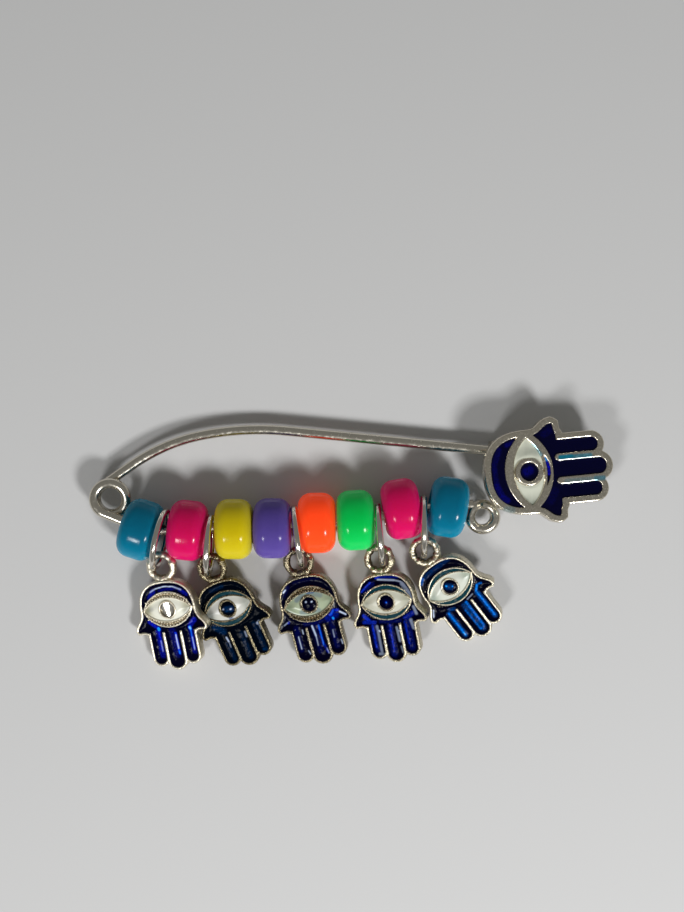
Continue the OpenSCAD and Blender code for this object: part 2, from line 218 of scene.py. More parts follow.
# %% Jump rings
rings = [node for name, node in sorted(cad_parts.items()) if name.startswith("jump_ring_")]
for ring in rings:
    ring.material_slots[0].material = ring_nickel
print("rings plated:", len(rings))

# %% [markdown]
# ## Drawing a hand with distances
# A cast hand is easiest to build as a relief: one height for each point of its plan. Each part of the plan
# is a function that gives the distance from a point to its edge, below zero inside. Distances can be
# joined with min, cut with max and moved in or out by adding a number, which gives rims of even width.

# %% Distances to simple shapes
def to_circle(x, y, r):
    return np.hypot(x, y) - r


def to_almond(x, y, half_l, half_h):
    """An almond between two arcs, like an open eye."""
    r = (half_l ** 2 + half_h ** 2) / (2 * half_h)
    return np.maximum(np.hypot(x, y - half_h + r), np.hypot(x, y + half_h - r)) - r


def to_bar(x, y, x_mid, y_low, y_high, half_w):
    """A bar along Y with round ends."""
    along = np.clip(y, y_low + half_w, max(y_high, y_low + half_w))
    return np.hypot(x - x_mid, y - along) - half_w


def to_polygon(x, y, points):
    """Distance to a closed polygon."""
    nearest = np.full(np.shape(x), 1e9)
    inside = np.zeros(np.shape(x), bool)
    for (ax, ay), (bx, by) in zip(points, points[1:] + points[:1]):
        ex, ey = bx - ax, by - ay
        t = np.clip(((x - ax) * ex + (y - ay) * ey) / (ex * ex + ey * ey), 0, 1)
        nearest = np.minimum(nearest, np.hypot(x - ax - t * ex, y - ay - t * ey))
        crosses = (ay > y) != (by > y)
        if ay != by:
            inside ^= crosses & (x < (bx - ax) * (y - ay) / (by - ay) + ax)
    return np.where(inside, -nearest, nearest)


def melt(a, b, r):
    """Joins two distances with a fillet of about this radius."""
    blend = np.clip(0.5 + 0.5 * (b - a) / r, 0, 1)
    return b + (a - b) * blend - r * blend * (1 - blend)


def step_up(t):
    """A smooth step from 0 to 1."""
    t = np.clip(t, 0, 1)
    return t * t * (3 - 2 * t)


print("half way up a step:", float(step_up(0.5)))

# %% [markdown]
# ## The plan of a hand
# Head and charms share one plan with their own sizes, in millimetres: fingers down, with the origin near the
# middle of the eye. Most are the sizes of the solid model's hands. The eye sits a little higher than there,
# as in the photo. Modelling each hand by hand would be quicker for one, but there are six of them.

# %% Sizes of the two hands
# top, half_w and power give the palm's crown, side the fingers' outer edge, tip_outer and tip_middle their
# ends. lid and white are half the length and height of the eye's two almonds, iris and dot its two radii.
HEAD = dict(top=6.85, half_w=6.25, power=2.5, thumb=(8.0, -3.9), thumb_round=1.1, notch=(5.6, -5.3),
            side=5.3, tip_outer=-11.5, tip_middle=-12.5, ridge_x=1.74, ridge_w=0.92, ridge_top=-3.9,
            lid=(6.0, 3.6), white=(5.05, 2.35), iris=2.1, dot=1.36, eye_y=0.2, rim=0.95, thick=2.2)
CHARM = dict(top=4.65, half_w=4.5, power=2.55, thumb=(5.85, -2.9), thumb_round=0.55, notch=(4.0, -3.6),
             side=3.92, tip_outer=-8.5, tip_middle=-9.25, ridge_x=1.4, ridge_w=0.3, ridge_top=-3.8,
             lid=(3.98, 2.75), white=(3.8, 1.82), iris=1.46, dot=1.08, eye_y=0.2, rim=0.34, thick=2.0)
# Where the bars of the fingers begin, inside the palm, and the fillets between fingers and at the palm
FINGER_TOP = -3.5
FINGER_FILLET = 0.12
PALM_FILLET = 0.15
print("fingers reach to:", HEAD["tip_middle"], "and", CHARM["tip_middle"])

# %% Outline of the palm
def bezier(a, b, c, d, n):
    """Points after the first on a curve from a to d, pulled by b and c."""
    points = []
    for i in range(1, n + 1):
        t = i / n
        s = 1 - t
        points.append(tuple(s ** 3 * a[k] + 3 * s * s * t * b[k] + 3 * s * t * t * c[k] + t ** 3 * d[k]
                            for k in (0, 1)))
    return points


CROWN_STEPS = 20


def palm_points(hand):
    """The palm's outline: a quarter of a rounded square, a curve down to the thumb, its tip and the notch."""
    half = []
    for i in range(CROWN_STEPS + 1):
        a = math.radians(90 - 90 * i / CROWN_STEPS)
        half.append((hand["half_w"] * max(math.cos(a), 0) ** (2 / hand["power"]),
                     hand["top"] * max(math.sin(a), 0) ** (2 / hand["power"])))
    tip, notch, r = hand["thumb"], hand["notch"], hand["thumb_round"]
    before = (tip[0] - 0.3 * r, tip[1] + r)
    after = (tip[0] - 0.7 * r, tip[1] - 0.9 * r)
    half += bezier((hand["half_w"], 0), (hand["half_w"], tip[1] * 0.4),
                   (before[0] - 0.48 * r, before[1] + 1.2 * r), before, 12)
    half += bezier(before, tip, tip, after, 6)
    half += bezier(after, (after[0] - 0.5, after[1] - 0.1), (notch[0] + 0.35, notch[1] + 0.45), notch, 8)
    return half + [(-px, py) for px, py in half[:0:-1]]


print("palm outline points:", len(palm_points(CHARM)))

# %% Parts of the plan
def to_hand(x, y, hand):
    """Distance to the outline of the whole hand."""
    outer_in = hand["ridge_x"] + hand["ridge_w"] / 2
    outer_out = hand["side"] - hand["rim"]
    outer_half = (outer_out - outer_in) / 2 + hand["rim"]
    middle_half = hand["ridge_x"] - hand["ridge_w"] / 2 + hand["rim"]
    outer = to_bar(np.abs(x), y, (outer_in + outer_out) / 2, hand["tip_outer"], FINGER_TOP, outer_half)
    middle = to_bar(x, y, 0, hand["tip_middle"], FINGER_TOP, middle_half)
    palm = to_polygon(x, y, palm_points(hand))
    return melt(palm, melt(outer, middle, FINGER_FILLET), PALM_FILLET)


def to_ridges(x, y, hand):
    """The two ridges between the fingers, as long as the fingers."""
    half_w = hand["ridge_w"] / 2
    return to_bar(np.abs(x), y, hand["ridge_x"], hand["tip_middle"] - 1, hand["ridge_top"] - half_w, half_w)


def to_blue(x, y, hand):
    """The cells for blue enamel: what the rim, the eyelids and the ridges leave."""
    field = to_hand(x, y, hand) + hand["rim"]
    lids = to_almond(x, y - hand["eye_y"], *hand["lid"])
    corner = 0.12 * hand["side"] / 3.8
    return -melt(-field, melt(lids, to_ridges(x, y, hand), 0.05), corner)


def to_white(x, y, hand):
    """The white of the eye round the iris."""
    y = y - hand["eye_y"]
    return np.maximum(to_almond(x, y, *hand["white"]), -to_circle(x, y, hand["iris"]))


def to_dot(x, y, hand):
    """The middle of the iris."""
    return to_circle(x, y - hand["eye_y"], hand["dot"])


print("from the middle of an eye to its white:", float(to_white(0.0, HEAD["eye_y"], HEAD)), "mm")

# %% Masks from strokes
def strokes(rows, ground=0.0):
    """A mask from short strokes: x and y of both ends, half width and strength. It fades at the sides."""
    def mask(x, y, z):
        shown = np.full(np.shape(x), ground)
        for x0, y0, x1, y1, half_w, strength in rows:
            ex, ey = x1 - x0, y1 - y0
            t = np.clip(((x - x0) * ex + (y - y0) * ey) / (ex * ex + ey * ey + 1e-9), 0, 1)
            away = np.hypot(x - x0 - t * ex, y - y0 - t * ey)
            shown = np.maximum(shown, strength * step_up(1.5 - away / half_w))
        return shown
    return mask


print("strength on a stroke:", strokes([(0, 0, 1, 0, 0.2, 0.5)])(0.5, 0.0, 0.0))

# %% [markdown]
# ## From a plan to a mesh
# The relief is sampled on a fine grid. Squares inside the plan are kept, and the corners along its edge are
# pulled onto the true outline, so no stair steps show. A wall goes down from the edge and the back is
# closed flat, which gives a solid casting.

# %% Relief to mesh
def slope(plan, x, y, step):
    """How steeply a distance grows along X and Y, and how much that is in all."""
    sx = (plan(x + step, y) - plan(x - step, y)) / (2 * step)
    sy = (plan(x, y + step) - plan(x, y - step)) / (2 * step)
    return sx, sy, np.maximum(np.hypot(sx, sy), 0.3)


def relief(plan, height, low, high, grid, wall):
    """Vertices in mm, faces and back edge of a raised shape. wall lists (inset, z) from the edge down."""
    xs = np.arange(low[0], high[0] + grid, grid)
    ys = np.arange(low[1], high[1] + grid, grid)
    gx, gy = np.meshgrid(xs, ys)
    keep = plan(gx[:-1, :-1] + grid / 2, gy[:-1, :-1] + grid / 2) < 0
    count = np.zeros(gx.shape, int)
    for dy in (0, 1):
        for dx in (0, 1):
            count[dy:dy + keep.shape[0], dx:dx + keep.shape[1]] += keep
    used = count > 0
    edge = used & (count < 4)
    px, py = gx[edge], gy[edge]
    for _ in range(3):
        d = plan(px, py)
        sx, sy, size = slope(plan, px, py, 0.01)
        px = px - d * sx / size ** 2
        py = py - d * sy / size ** 2
    gx[edge], gy[edge] = px, py
    index = np.full(gx.shape, -1)
    index[used] = np.arange(used.sum())
    x, y = gx[used], gy[used]
    verts = [np.stack([x, y, height(x, y)], 1)]
    a, b = index[:-1, :-1][keep], index[:-1, 1:][keep]
    c, d = index[1:, 1:][keep], index[1:, :-1][keep]
    faces = np.stack([a, b, c, d], 1)
    sides = np.concatenate([faces[:, [0, 1]], faces[:, [1, 2]], faces[:, [2, 3]], faces[:, [3, 0]]])
    keys = {(i, j) for i, j in sides.tolist()}
    border = [(i, j) for i, j in keys if (j, i) not in keys]
    ring = sorted({i for i, _ in border})
    at = {v: k for k, v in enumerate(ring)}
    rx, ry = x[ring], y[ring]
    sx, sy, size = slope(plan, rx, ry, 0.02)
    sx, sy = sx / size, sy / size
    all_faces = faces.tolist()
    upper = np.array(ring)
    total = len(x)
    for inset, z in wall:
        verts.append(np.stack([rx - inset * sx, ry - inset * sy, np.full(len(rx), z)], 1))
        lower = np.arange(total, total + len(rx))
        total += len(rx)
        for i, j in border:
            all_faces.append([int(upper[at[j]]), int(upper[at[i]]), int(lower[at[i]]), int(lower[at[j]])])
        upper = lower
    rim_edges = [(int(upper[at[i]]), int(upper[at[j]])) for i, j in border]
    return np.concatenate(verts), all_faces, rim_edges


coin = relief(lambda x, y: to_circle(x, y, 1.0), lambda x, y: 0 * x, (-1, -1), (1, 1), 0.25, [(0, -0.5)])
print("a coarse coin has", len(coin[0]), "corners and", len(coin[1]), "faces")

# %% Meshes to pieces
def piece(name, parts, material, node, body=FRAME_BODY, sharp_deg=50, layers=None, placed=None):
    """One object in a node's place, from sets of vertices in mm and faces. Open backs are filled flat."""
    verts, faces, open_edges = [], [], []
    total = 0
    for part in parts:
        verts.append(part[0])
        faces += [[i + total for i in f] for f in part[1]]
        if len(part) > 2:
            open_edges += [(i + total, j + total) for i, j in part[2]]
        total += len(part[0])
    verts = np.concatenate(verts)
    mesh = bpy.data.meshes.new(name)
    mesh.from_pydata((verts * MM).tolist(), [], faces)
    for key, values in (layers or {}).items():
        layer = mesh.attributes.new(key, "FLOAT", "POINT")
        layer.data.foreach_set("value", np.asarray(values(*verts.T), np.float32))
    if open_edges:
        work = bmesh.new()
        work.from_mesh(mesh)
        work.verts.ensure_lookup_table()
        rims = [work.edges.get((work.verts[i], work.verts[j])) for i, j in open_edges]
        bmesh.ops.triangle_fill(work, use_beauty=True, use_dissolve=False, edges=[e for e in rims if e])
        bmesh.ops.recalc_face_normals(work, faces=work.faces)
        work.to_mesh(mesh)
        work.free()
    if placed is not None:
        mesh.transform(placed)
    mesh.polygons.foreach_set("use_smooth", [True] * len(mesh.polygons))
    mesh.set_sharp_from_angle(angle=math.radians(sharp_deg))
    mesh.materials.append(material)
    made = bpy.data.objects.new(name, mesh)
    bpy.context.collection.objects.link(made)
    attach(made, body)
    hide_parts(node)
    return made


print("pieces ride on:", FRAME_BODY, "or", ARM_BODY)

# %% [markdown]
# ## Small raised work
# Castings like these carry fine wires and small grains. A grain is a ball of only twenty faces, which smooth
# shading makes round, because hundreds of them stand in the eyelids. A wire is a circle swept along points.

# %% Balls
work = bmesh.new()
bmesh.ops.create_icosphere(work, subdivisions=1, radius=1.0)
BALL_VERTS = np.array([v.co[:] for v in work.verts])
BALL_FACES = [[v.index for v in f.verts] for f in work.faces]
work.free()


def balls(centres, radius):
    """Many balls of one size."""
    verts, faces = [], []
    for k, centre in enumerate(centres):
        verts.append(BALL_VERTS * radius + np.asarray(centre))
        faces += [[i + k * len(BALL_VERTS) for i in f] for f in BALL_FACES]
    return np.concatenate(verts), faces


print("faces in a ball:", len(BALL_FACES))

# %% Wires
def wire(points, radius, sides=12, closed=False, flat=1.0):
    """A wire swept along points. radius is one number or one per point, and flat stretches its height.

    A wire that rises straight up collapses, because its way and the upward direction are then the same.
    """
    points = np.asarray(points, float)
    n = len(points)
    radius = np.broadcast_to(np.asarray(radius, float), (n,))
    steps = np.roll(points, -1, 0) - points
    steps /= np.linalg.norm(steps, axis=1)[:, None]
    if not closed:
        steps[-1] = steps[-2]
    ahead = steps + np.roll(steps, 1, 0)
    if not closed:
        ahead[0] = steps[0]
    ahead /= np.linalg.norm(ahead, axis=1)[:, None]
    up = np.array([0.0, 0.0, 1.0])
    across = np.cross(up, ahead)
    across /= np.linalg.norm(across, axis=1)[:, None]
    over = np.cross(ahead, across)
    angle = np.linspace(0, 2 * math.pi, sides, endpoint=False)
    circle = (np.cos(angle)[None, :, None] * across[:, None, :]
              + flat * np.sin(angle)[None, :, None] * over[:, None, :])
    verts = (points[:, None, :] + circle * radius[:, None, None]).reshape(-1, 3)
    faces = []
    last = n if closed else n - 1
    for i in range(last):
        for k in range(sides):
            j, m = (i + 1) % n, (k + 1) % sides
            faces.append([i * sides + k, i * sides + m, j * sides + m, j * sides + k])
    if not closed:
        faces.append(list(range(sides))[::-1])
        faces.append([(n - 1) * sides + k for k in range(sides)])
    return verts, faces


def almond_points(half_l, half_h, pitch, z, out=0.0):
    """Points at an even pitch all round an almond, moved out from it by a distance."""
    r = (half_l ** 2 + half_h ** 2) / (2 * half_h)
    half_angle = math.asin(half_l / r)
    count = max(int(round(2 * half_angle * r / pitch)), 4)
    points = []
    for side in (1, -1):
        for k in range(count):
            a = -half_angle + 2 * half_angle * (k + 0.5) / count
            points.append((side * (r + out) * math.sin(a), side * ((r + out) * math.cos(a) - r + half_h), z))
    return points


print("grains 0.4 mm apart round a charm's eye:", len(almond_points(*CHARM["white"], 0.4, 0.0)))

# %% [markdown]
# ## Moulded plastic beads
# Pony beads are moulded polystyrene: short barrels with a flat middle, round shoulders and a wide hole. A
# section is turned round the hole, as on a lathe. Half of the light goes into the plastic and scatters, which
# softens its shaded side. Its edges look brighter than its middle, so a painted sheen turns the colour
# lighter towards the edges, by the angle of view. The neon colours give back more light than falls on them,
# for which a weak painted glow stands, and the same glow lifts the second pink and teal beads a little
# above the first ones.

# %% Bead plastic
def bead_plastic(name, middle, edge, painted_glow, turn, centre):
    """Glossy plastic with flow lines that follow a bead's own axis. The edge colour is a painted sheen, and
    the glow is painted: it says how far the plastic glows in daylight.
    """
    material, tree, shader = start_material(name, Roughness=0.16, IOR=1.5)
    shader.inputs["Specular IOR Level"].default_value = 0.18
    # Painted glow: emission that lifts the plastic's colour
    shader.inputs["Emission Color"].default_value = linear(middle)
    shader.inputs["Emission Strength"].default_value = painted_glow
    shader.inputs["Subsurface Weight"].default_value = 0.5
    shader.inputs["Subsurface Radius"].default_value = (1.0, 1.0, 1.0)
    shader.inputs["Subsurface Scale"].default_value = 3 * MM
    # Painted sheen: the colour turns to the edge colour where the surface turns away from the view
    facing = add(tree, "ShaderNodeLayerWeight", {"Blend": 0.35})
    colour = add(tree, "ShaderNodeMix", {"Factor": facing.outputs["Facing"], "A": linear(middle),
                                         "B": linear(edge)}, data_type="RGBA")
    tree.links.new(colour.outputs["Result"], shader.inputs["Base Color"])
    place = add(tree, "ShaderNodeTexCoord")
    turned = add(tree, "ShaderNodeMapping", {"Vector": place.outputs["Object"], "Location": centre,
                                             "Rotation": (0.0, 0.0, math.radians(turn))},
                 vector_type="TEXTURE")
    stretched = add(tree, "ShaderNodeMapping", {"Vector": turned.outputs["Vector"],
                                                "Scale": (1.0, 0.12, 0.12)})
    lines = add(tree, "ShaderNodeTexNoise", {"Vector": stretched.outputs["Vector"], "Scale": per_mm(0.7),
                                             "Detail": 3.0})
    waves = add(tree, "ShaderNodeTexNoise", {"Vector": turned.outputs["Vector"], "Scale": per_mm(2.0)})
    both = add(tree, "ShaderNodeMath", {0: lines.outputs["Fac"], 1: waves.outputs["Fac"]}, operation="ADD")
    bump = add(tree, "ShaderNodeBump", {"Height": both.outputs["Value"], "Strength": 1.0,
                                        "Distance": 0.03 * MM})
    tree.links.new(bump.outputs["Normal"], shader.inputs["Normal"])
    return material


print("flow lines per mm:", round(per_mm(0.7) * MM, 2))

# %% Section of a bead
BEAD_R = 4.5
BEAD_HALF_L = 2.8
BEAD_SHOULDER = 1.95
BEAD_HOLE_R = 2.0
BEAD_LIP = 0.35
BEAD_STEPS = 96
ARC_STEPS = 8


def bead_section():
    """Points (along the hole, out from it) round half of a bead's section, from the hole's middle."""
    points = [(0.0, BEAD_HOLE_R), (BEAD_HALF_L - 2 * BEAD_LIP, BEAD_HOLE_R)]
    turns = [math.radians(90 * i / ARC_STEPS) for i in range(ARC_STEPS + 1)]
    lip, shoulder = BEAD_LIP, BEAD_SHOULDER
    points += [(BEAD_HALF_L - lip + lip * math.sin(a), BEAD_HOLE_R + lip - lip * math.cos(a)) for a in turns]
    points += [(BEAD_HALF_L - shoulder + shoulder * math.cos(a), BEAD_R - shoulder + shoulder * math.sin(a))
               for a in turns]
    return points


def turned_bead():
    """Vertices in mm and faces of a bead about the X axis."""
    half = bead_section()
    section = half + [(-along, out) for along, out in half[::-1]]
    n = len(section)
    verts, faces = [], []
    for k in range(BEAD_STEPS):
        a = 2 * math.pi * k / BEAD_STEPS
        verts += [(along, out * math.cos(a), out * math.sin(a)) for along, out in section]
        for i in range(n):
            j, m = (i + 1) % n, (k + 1) % BEAD_STEPS
            faces.append([k * n + i, k * n + j, m * n + j, m * n + i])
    return np.array(verts), faces


print("points round a bead's section:", 2 * len(bead_section()))

# %% Turn the beads
# Node, colour in the middle and painted sheen at the edge, painted glow, middle in mm and the turn of its
# hole
BEADS = [
    ("bead_1_teal", "#00607c", "#0098bc", 0.0, (-31.25, 2.17), -17.9),
    ("bead_2_pink", "#c80a54", "#f01878", 0.0, (-24.27, 2.06), -6.4),
    ("bead_3_yellow", "#c4b008", "#e6d83c", 0.0, (-17.34, 2.24), -0.3),
    ("bead_4_purple", "#52428e", "#7460b8", 0.0, (-11.59, 2.36), 0.2),
    ("bead_5_orange", "#ff4618", "#ff5a2c", 0.3, (-4.96, 3.17), 1.0),
    ("bead_6_green", "#00b84c", "#2cf07c", 0.05, (0.83, 3.57), 2.9),
    ("bead_7_pink", "#c80a54", "#f01878", 0.03, (7.68, 5.26), 9.3),
    ("bead_8_teal", "#00607c", "#0098bc", 0.03, (14.57, 5.54), -9.6),
]
for node, middle_colour, edge_sheen_colour, painted_glow, middle, turn in BEADS:
    centre = (middle[0] * MM, middle[1] * MM, BEAD_R * MM)
    plastic = bead_plastic("moulded_polystyrene_" + node, middle_colour, edge_sheen_colour, painted_glow, turn, centre)
    bead = piece(node + "_turned", [turned_bead()], plastic, node, placed=Matrix.Translation(centre)
                 @ Matrix.Rotation(math.radians(turn), 4, "Z"))
print("beads turned:", len(BEADS))

# %% [markdown]
# ## The pin's wire
# One spring wire makes the whole pin: it comes along the arm, goes round the coil while it climbs, and
# leaves along the bar to a double closed loop. It could be a curve with a bevel, but a list of lengths and
# bends is how a wire is really bent, and a mesh swept along it keeps its ends under control. The arm and the
# bar are two bodies in the solid model, so the wire is cut in the coil, where the arm springs.

# %% Sizes of the wire
WIRE_R = 0.75
COIL_AT = (-36.02, 6.73)
COIL_R = 2.35
ARM_Z = 2.15
BAR_Z = 3.75
# Where the bar and the arm leave the coil and where it is cut, in degrees round it
BAR_LEAVES = 248
ARM_LEAVES = 125
COIL_CUT = 366
LOOP_R = 1.9
LOOP_PITCH = 1.2
# Each row is a length and the angle that the wire bends through in it
BAR_ROWS = [(4.02, 0), (6, 25), (26.7, 0), (3, 6), (9, 0), (8.72, -9)]
ARM_ROWS = [(5.45, 0), (11.5, -23.7), (13, -16.8), (33.1, 0)]


def on_coil(degrees, z):
    a = math.radians(degrees)
    return (COIL_AT[0] + COIL_R * math.cos(a), COIL_AT[1] + COIL_R * math.sin(a), z)


def helix(start, end, step=6):
    """Points on the coil. The wire climbs from the arm's height to the bar's between the two."""
    points = []
    for degrees in np.linspace(start, end, max(int(abs(end - start) / step), 1) + 1):
        climb = step_up((degrees - BAR_LEAVES) / (ARM_LEAVES + 360 - BAR_LEAVES))
        points.append(on_coil(degrees, ARM_Z + (BAR_Z - ARM_Z) * float(climb)))
    return points


def bent(rows, heading, at):
    """Points after the first of a wire with straight and bent stretches in one plane."""
    x, y, z = at
    points = []
    for length, turn in rows:
        steps = max(int(abs(turn) / 1.5), 4)
        for _ in range(steps):
            middle = math.radians(heading + turn / steps / 2)
            x += length / steps * math.cos(middle)
            y += length / steps * math.sin(middle)
            heading += turn / steps
            points.append((x, y, z))
    return points, heading


print("length of the arm in mm:", sum(length for length, _ in ARM_ROWS))

# %% Bend the arm
# The point: how far out from the end of the full wire, and the radius there
POINT_ROWS = [(0.8, 0.67), (2.0, 0.47), (3.2, 0.25), (3.8, 0.12), (4.0, 0.03)]
arm_run, arm_heading = bent(ARM_ROWS, ARM_LEAVES - 90, on_coil(ARM_LEAVES, ARM_Z))
arm_points = helix(COIL_CUT, ARM_LEAVES) + arm_run
arm_radius = [WIRE_R] * len(arm_points)
tip_at = Vector(arm_points[-1])
tip_way = Vector((math.cos(math.radians(arm_heading)), math.sin(math.radians(arm_heading)), 0))
for out, radius in POINT_ROWS:
    arm_points.append(tuple(tip_at + tip_way * out))
    arm_radius.append(radius)
arm = piece("arm_wire", [wire(arm_points, arm_radius, sides=20)], drawn_wire_nickel, "pin_arm", ARM_BODY)
print("points along the arm:", len(arm_points))

# %% Bend the bar
# The loop's second turn lies under its first, and the wire goes down between these two turns of degrees
LOOP_FALLS = (300, 420)
bar_run, bar_heading = bent(BAR_ROWS, BAR_LEAVES + 90, on_coil(BAR_LEAVES, BAR_Z))
loop_at = (bar_run[-1][0], bar_run[-1][1] - LOOP_R + 0.08)
loop_points = []
for degrees in range(90, 90 - 720, -8):
    a = math.radians(degrees)
    fall = step_up((90 - degrees - LOOP_FALLS[0]) / (LOOP_FALLS[1] - LOOP_FALLS[0]))
    loop_points.append((loop_at[0] + LOOP_R * math.cos(a), loop_at[1] + LOOP_R * math.sin(a),
                        BAR_Z - LOOP_PITCH * float(fall)))
bar_points = helix(COIL_CUT, BAR_LEAVES + 360) + bar_run[:-1]
bar_wires = [wire(bar_points, WIRE_R, sides=20), wire(loop_points, WIRE_R * 0.99, sides=20)]
bar = piece("bar_wire", bar_wires, drawn_wire_nickel, "pin_frame")
print("points along the bar and its loop:", len(bar_points) + len(loop_points))

# %% [markdown]
# ## The cast head
# The head is a polished casting. Its rims are flat with a worn edge, and its cells are sunk for enamel.
# Ridges part the fingers, and a ring stands round the iris. A hook on its back takes the pin's point. Cells
# cut with booleans would have sharp edges, so one height map gives the walls and their worn lips instead.

# %% Height of the head's metal
HEAD_AT = (26.48, 10.7, 4.6)
HEAD_TURN = (-3, 5, 5.5)
CELL_DEPTH = 0.6
HEAD_EDGE_R = 0.22
IRIS_RING_HALF_W = 0.4
IRIS_RING_RISE = 0.16
head_place = (Matrix.Translation(Vector(HEAD_AT) * MM)
              @ Euler([math.radians(a) for a in HEAD_TURN]).to_matrix().to_4x4()
              @ Matrix.Rotation(math.radians(90), 4, "Z")
              @ Matrix.Translation((0, 0, HEAD["thick"] * MM)))
SLIT_HALF_L = 2.25


def to_slit(x, y):
    """The narrow slit in the eyelid next to the fingers, between two arcs that meet at its ends."""
    arc = 1 - (x / SLIT_HALF_L) ** 2
    return np.maximum(y + 2.2 + 0.25 * arc, -y - 2.28 - 0.78 * arc)


def worn_edge(inside, r):
    """Drop of a surface that is rounded within r of its edge."""
    t = np.clip(inside, 0, r)
    return np.sqrt(np.maximum(r * r - (r - t) ** 2, 0)) - r


def cell(distance, depth, wall, lip):
    """Drop of a cell with a steep wall, and of the metal just round it."""
    return -depth * step_up(-distance / wall) - 0.3 * lip * step_up(1 - np.clip(distance, 0, None) / lip)


def head_metal(x, y):
    hand = HEAD
    r = np.hypot(x, y - hand["eye_y"])
    z = worn_edge(-to_hand(x, y, hand), HEAD_EDGE_R)
    z = z + cell(to_blue(x, y, hand), CELL_DEPTH, 0.13, 0.09)
    z = z + cell(to_white(x, y, hand), CELL_DEPTH, 0.2, 0.22)
    z = z + cell(to_dot(x, y, hand), CELL_DEPTH, 0.14, 0.1)
    z = z + cell(to_slit(x, y), CELL_DEPTH, 0.1, 0.06)
    ring_mid = (hand["iris"] + hand["dot"]) / 2
    return z + IRIS_RING_RISE * np.sqrt(np.clip(1 - ((r - ring_mid) / IRIS_RING_HALF_W) ** 2, 0, 1))


print("rim of the head at:", float(head_metal(0.0, HEAD["top"] - 0.5)), "mm")

# %% Cast the head
def hand_window(hand):
    """Lowest and highest corner of the plan, with a margin for the grid."""
    margin = 0.3
    half = hand["thumb"][0] + margin
    return (-half, hand["tip_middle"] - margin), (half, hand["top"] + margin)


# Teal on the ridges, an eyelid and the rim: a stroke is x and y of both ends, half width and strength
HEAD_TEAL = [
    (1.7, -4.6, 1.7, -6.4, 0.3, 1.0),
    (1.65, -6.4, 1.6, -9.2, 0.3, 0.75),
    (-1.9, -9.6, -1.95, -10.8, 0.35, 0.65),
    (-1.85, -5.2, -1.9, -9.0, 0.3, 0.3),
    (2.4, -1.75, 3.9, -0.75, 0.3, 0.45),
    (-5.2, 4.2, -5.3, 3.4, 0.5, 0.25),
]
low, high = hand_window(HEAD)
head_wall = [(-0.02, -HEAD_EDGE_R - 0.4), (-0.02, -HEAD["thick"] + 0.3), (0.12, -HEAD["thick"])]
head_body = relief(lambda x, y: to_hand(x, y, HEAD), head_metal, low, high, 0.09, head_wall)
head_plate = piece("head_casting", [head_body], head_nickel, "pin_frame", placed=head_place, sharp_deg=75,
                   layers={"tint_and_shade": strokes(HEAD_TEAL)})
print("faces in the head's metal:", len(head_body[1]))

# %% Catch
HOOK_WALL = 0.6
HOOK_LIP = 1.1
HOOK_LENGTH = 4.0
# How far along the arm the hook's middle is
HOOK_AT = 62.5
hook_reach = WIRE_R + 0.06
hook_low = ARM_Z - hook_reach - HOOK_WALL
hook_high = HEAD_AT[2] + 0.9
hook_outline = [(hook_reach + HOOK_WALL, hook_low), (hook_reach + HOOK_WALL, hook_high),
                (hook_reach - 0.5, hook_high), (hook_reach, hook_high - 0.6),
                (hook_reach, hook_low + HOOK_WALL), (-HOOK_LIP, hook_low + HOOK_WALL), (-HOOK_LIP, hook_low)]
hook_mesh = bpy.data.meshes.new("catch_hook")
work = bmesh.new()
ring = [work.verts.new((-HOOK_LENGTH / 2 * MM, px * MM, pz * MM)) for px, pz in hook_outline]
face = work.faces.new(ring)
made = bmesh.ops.extrude_face_region(work, geom=[face])
moved = [g for g in made["geom"] if isinstance(g, bmesh.types.BMVert)]
bmesh.ops.translate(work, verts=moved, vec=(HOOK_LENGTH * MM, 0, 0))
bmesh.ops.recalc_face_normals(work, faces=work.faces)
work.to_mesh(hook_mesh)
work.free()
hook_mesh.materials.append(head_nickel)
hook = bpy.data.objects.new("catch_hook", hook_mesh)
bpy.context.collection.objects.link(hook)
back = sum(length for length, _ in ARM_ROWS) - HOOK_AT
hook_spot = tip_at - tip_way * back
hook.matrix_world = (Matrix.Translation((hook_spot.x * MM, hook_spot.y * MM, 0))
                     @ Matrix.Rotation(math.radians(arm_heading), 4, "Z"))
rounding = hook.modifiers.new("worn_edges", "BEVEL")
rounding.width = 0.12 * MM
rounding.segments = 2
bpy.context.view_layer.update()
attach(hook, FRAME_BODY)
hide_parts("pin_frame")
print("hook at mm:", round(hook_spot.x, 2), round(hook_spot.y, 2))

# %% [markdown]
# ## Solder
# On the real pin a drop of solder would hold the loop to the back of the head. Here the drop is a short wire
# that rises straight up. `wire` finds the directions across a wire from its way and from the upward one, and
# for this one wire the two are the same, so the piece collapses and the drop can't be seen. It would take
# another direction than up in `wire` to show it.

# %% Solder between the loop and the head
# Height and radius of the drop of solder
SOLDER_ROWS = [(2.3, 0.3), (2.6, 0.85), (3.4, 1.0), (4.2, 0.85), (5.1, 0.9), (5.6, 0.5)]
solder_at = (loop_at[0] + 1.75, loop_at[1] + 1.75)
drop = wire([(*solder_at, z) for z, _ in SOLDER_ROWS], [radius for _, radius in SOLDER_ROWS], sides=16)
solder = piece("solder_blob", [drop], head_nickel, "pin_frame")
print("solder at mm:", round(solder_at[0], 2), round(solder_at[1], 2))
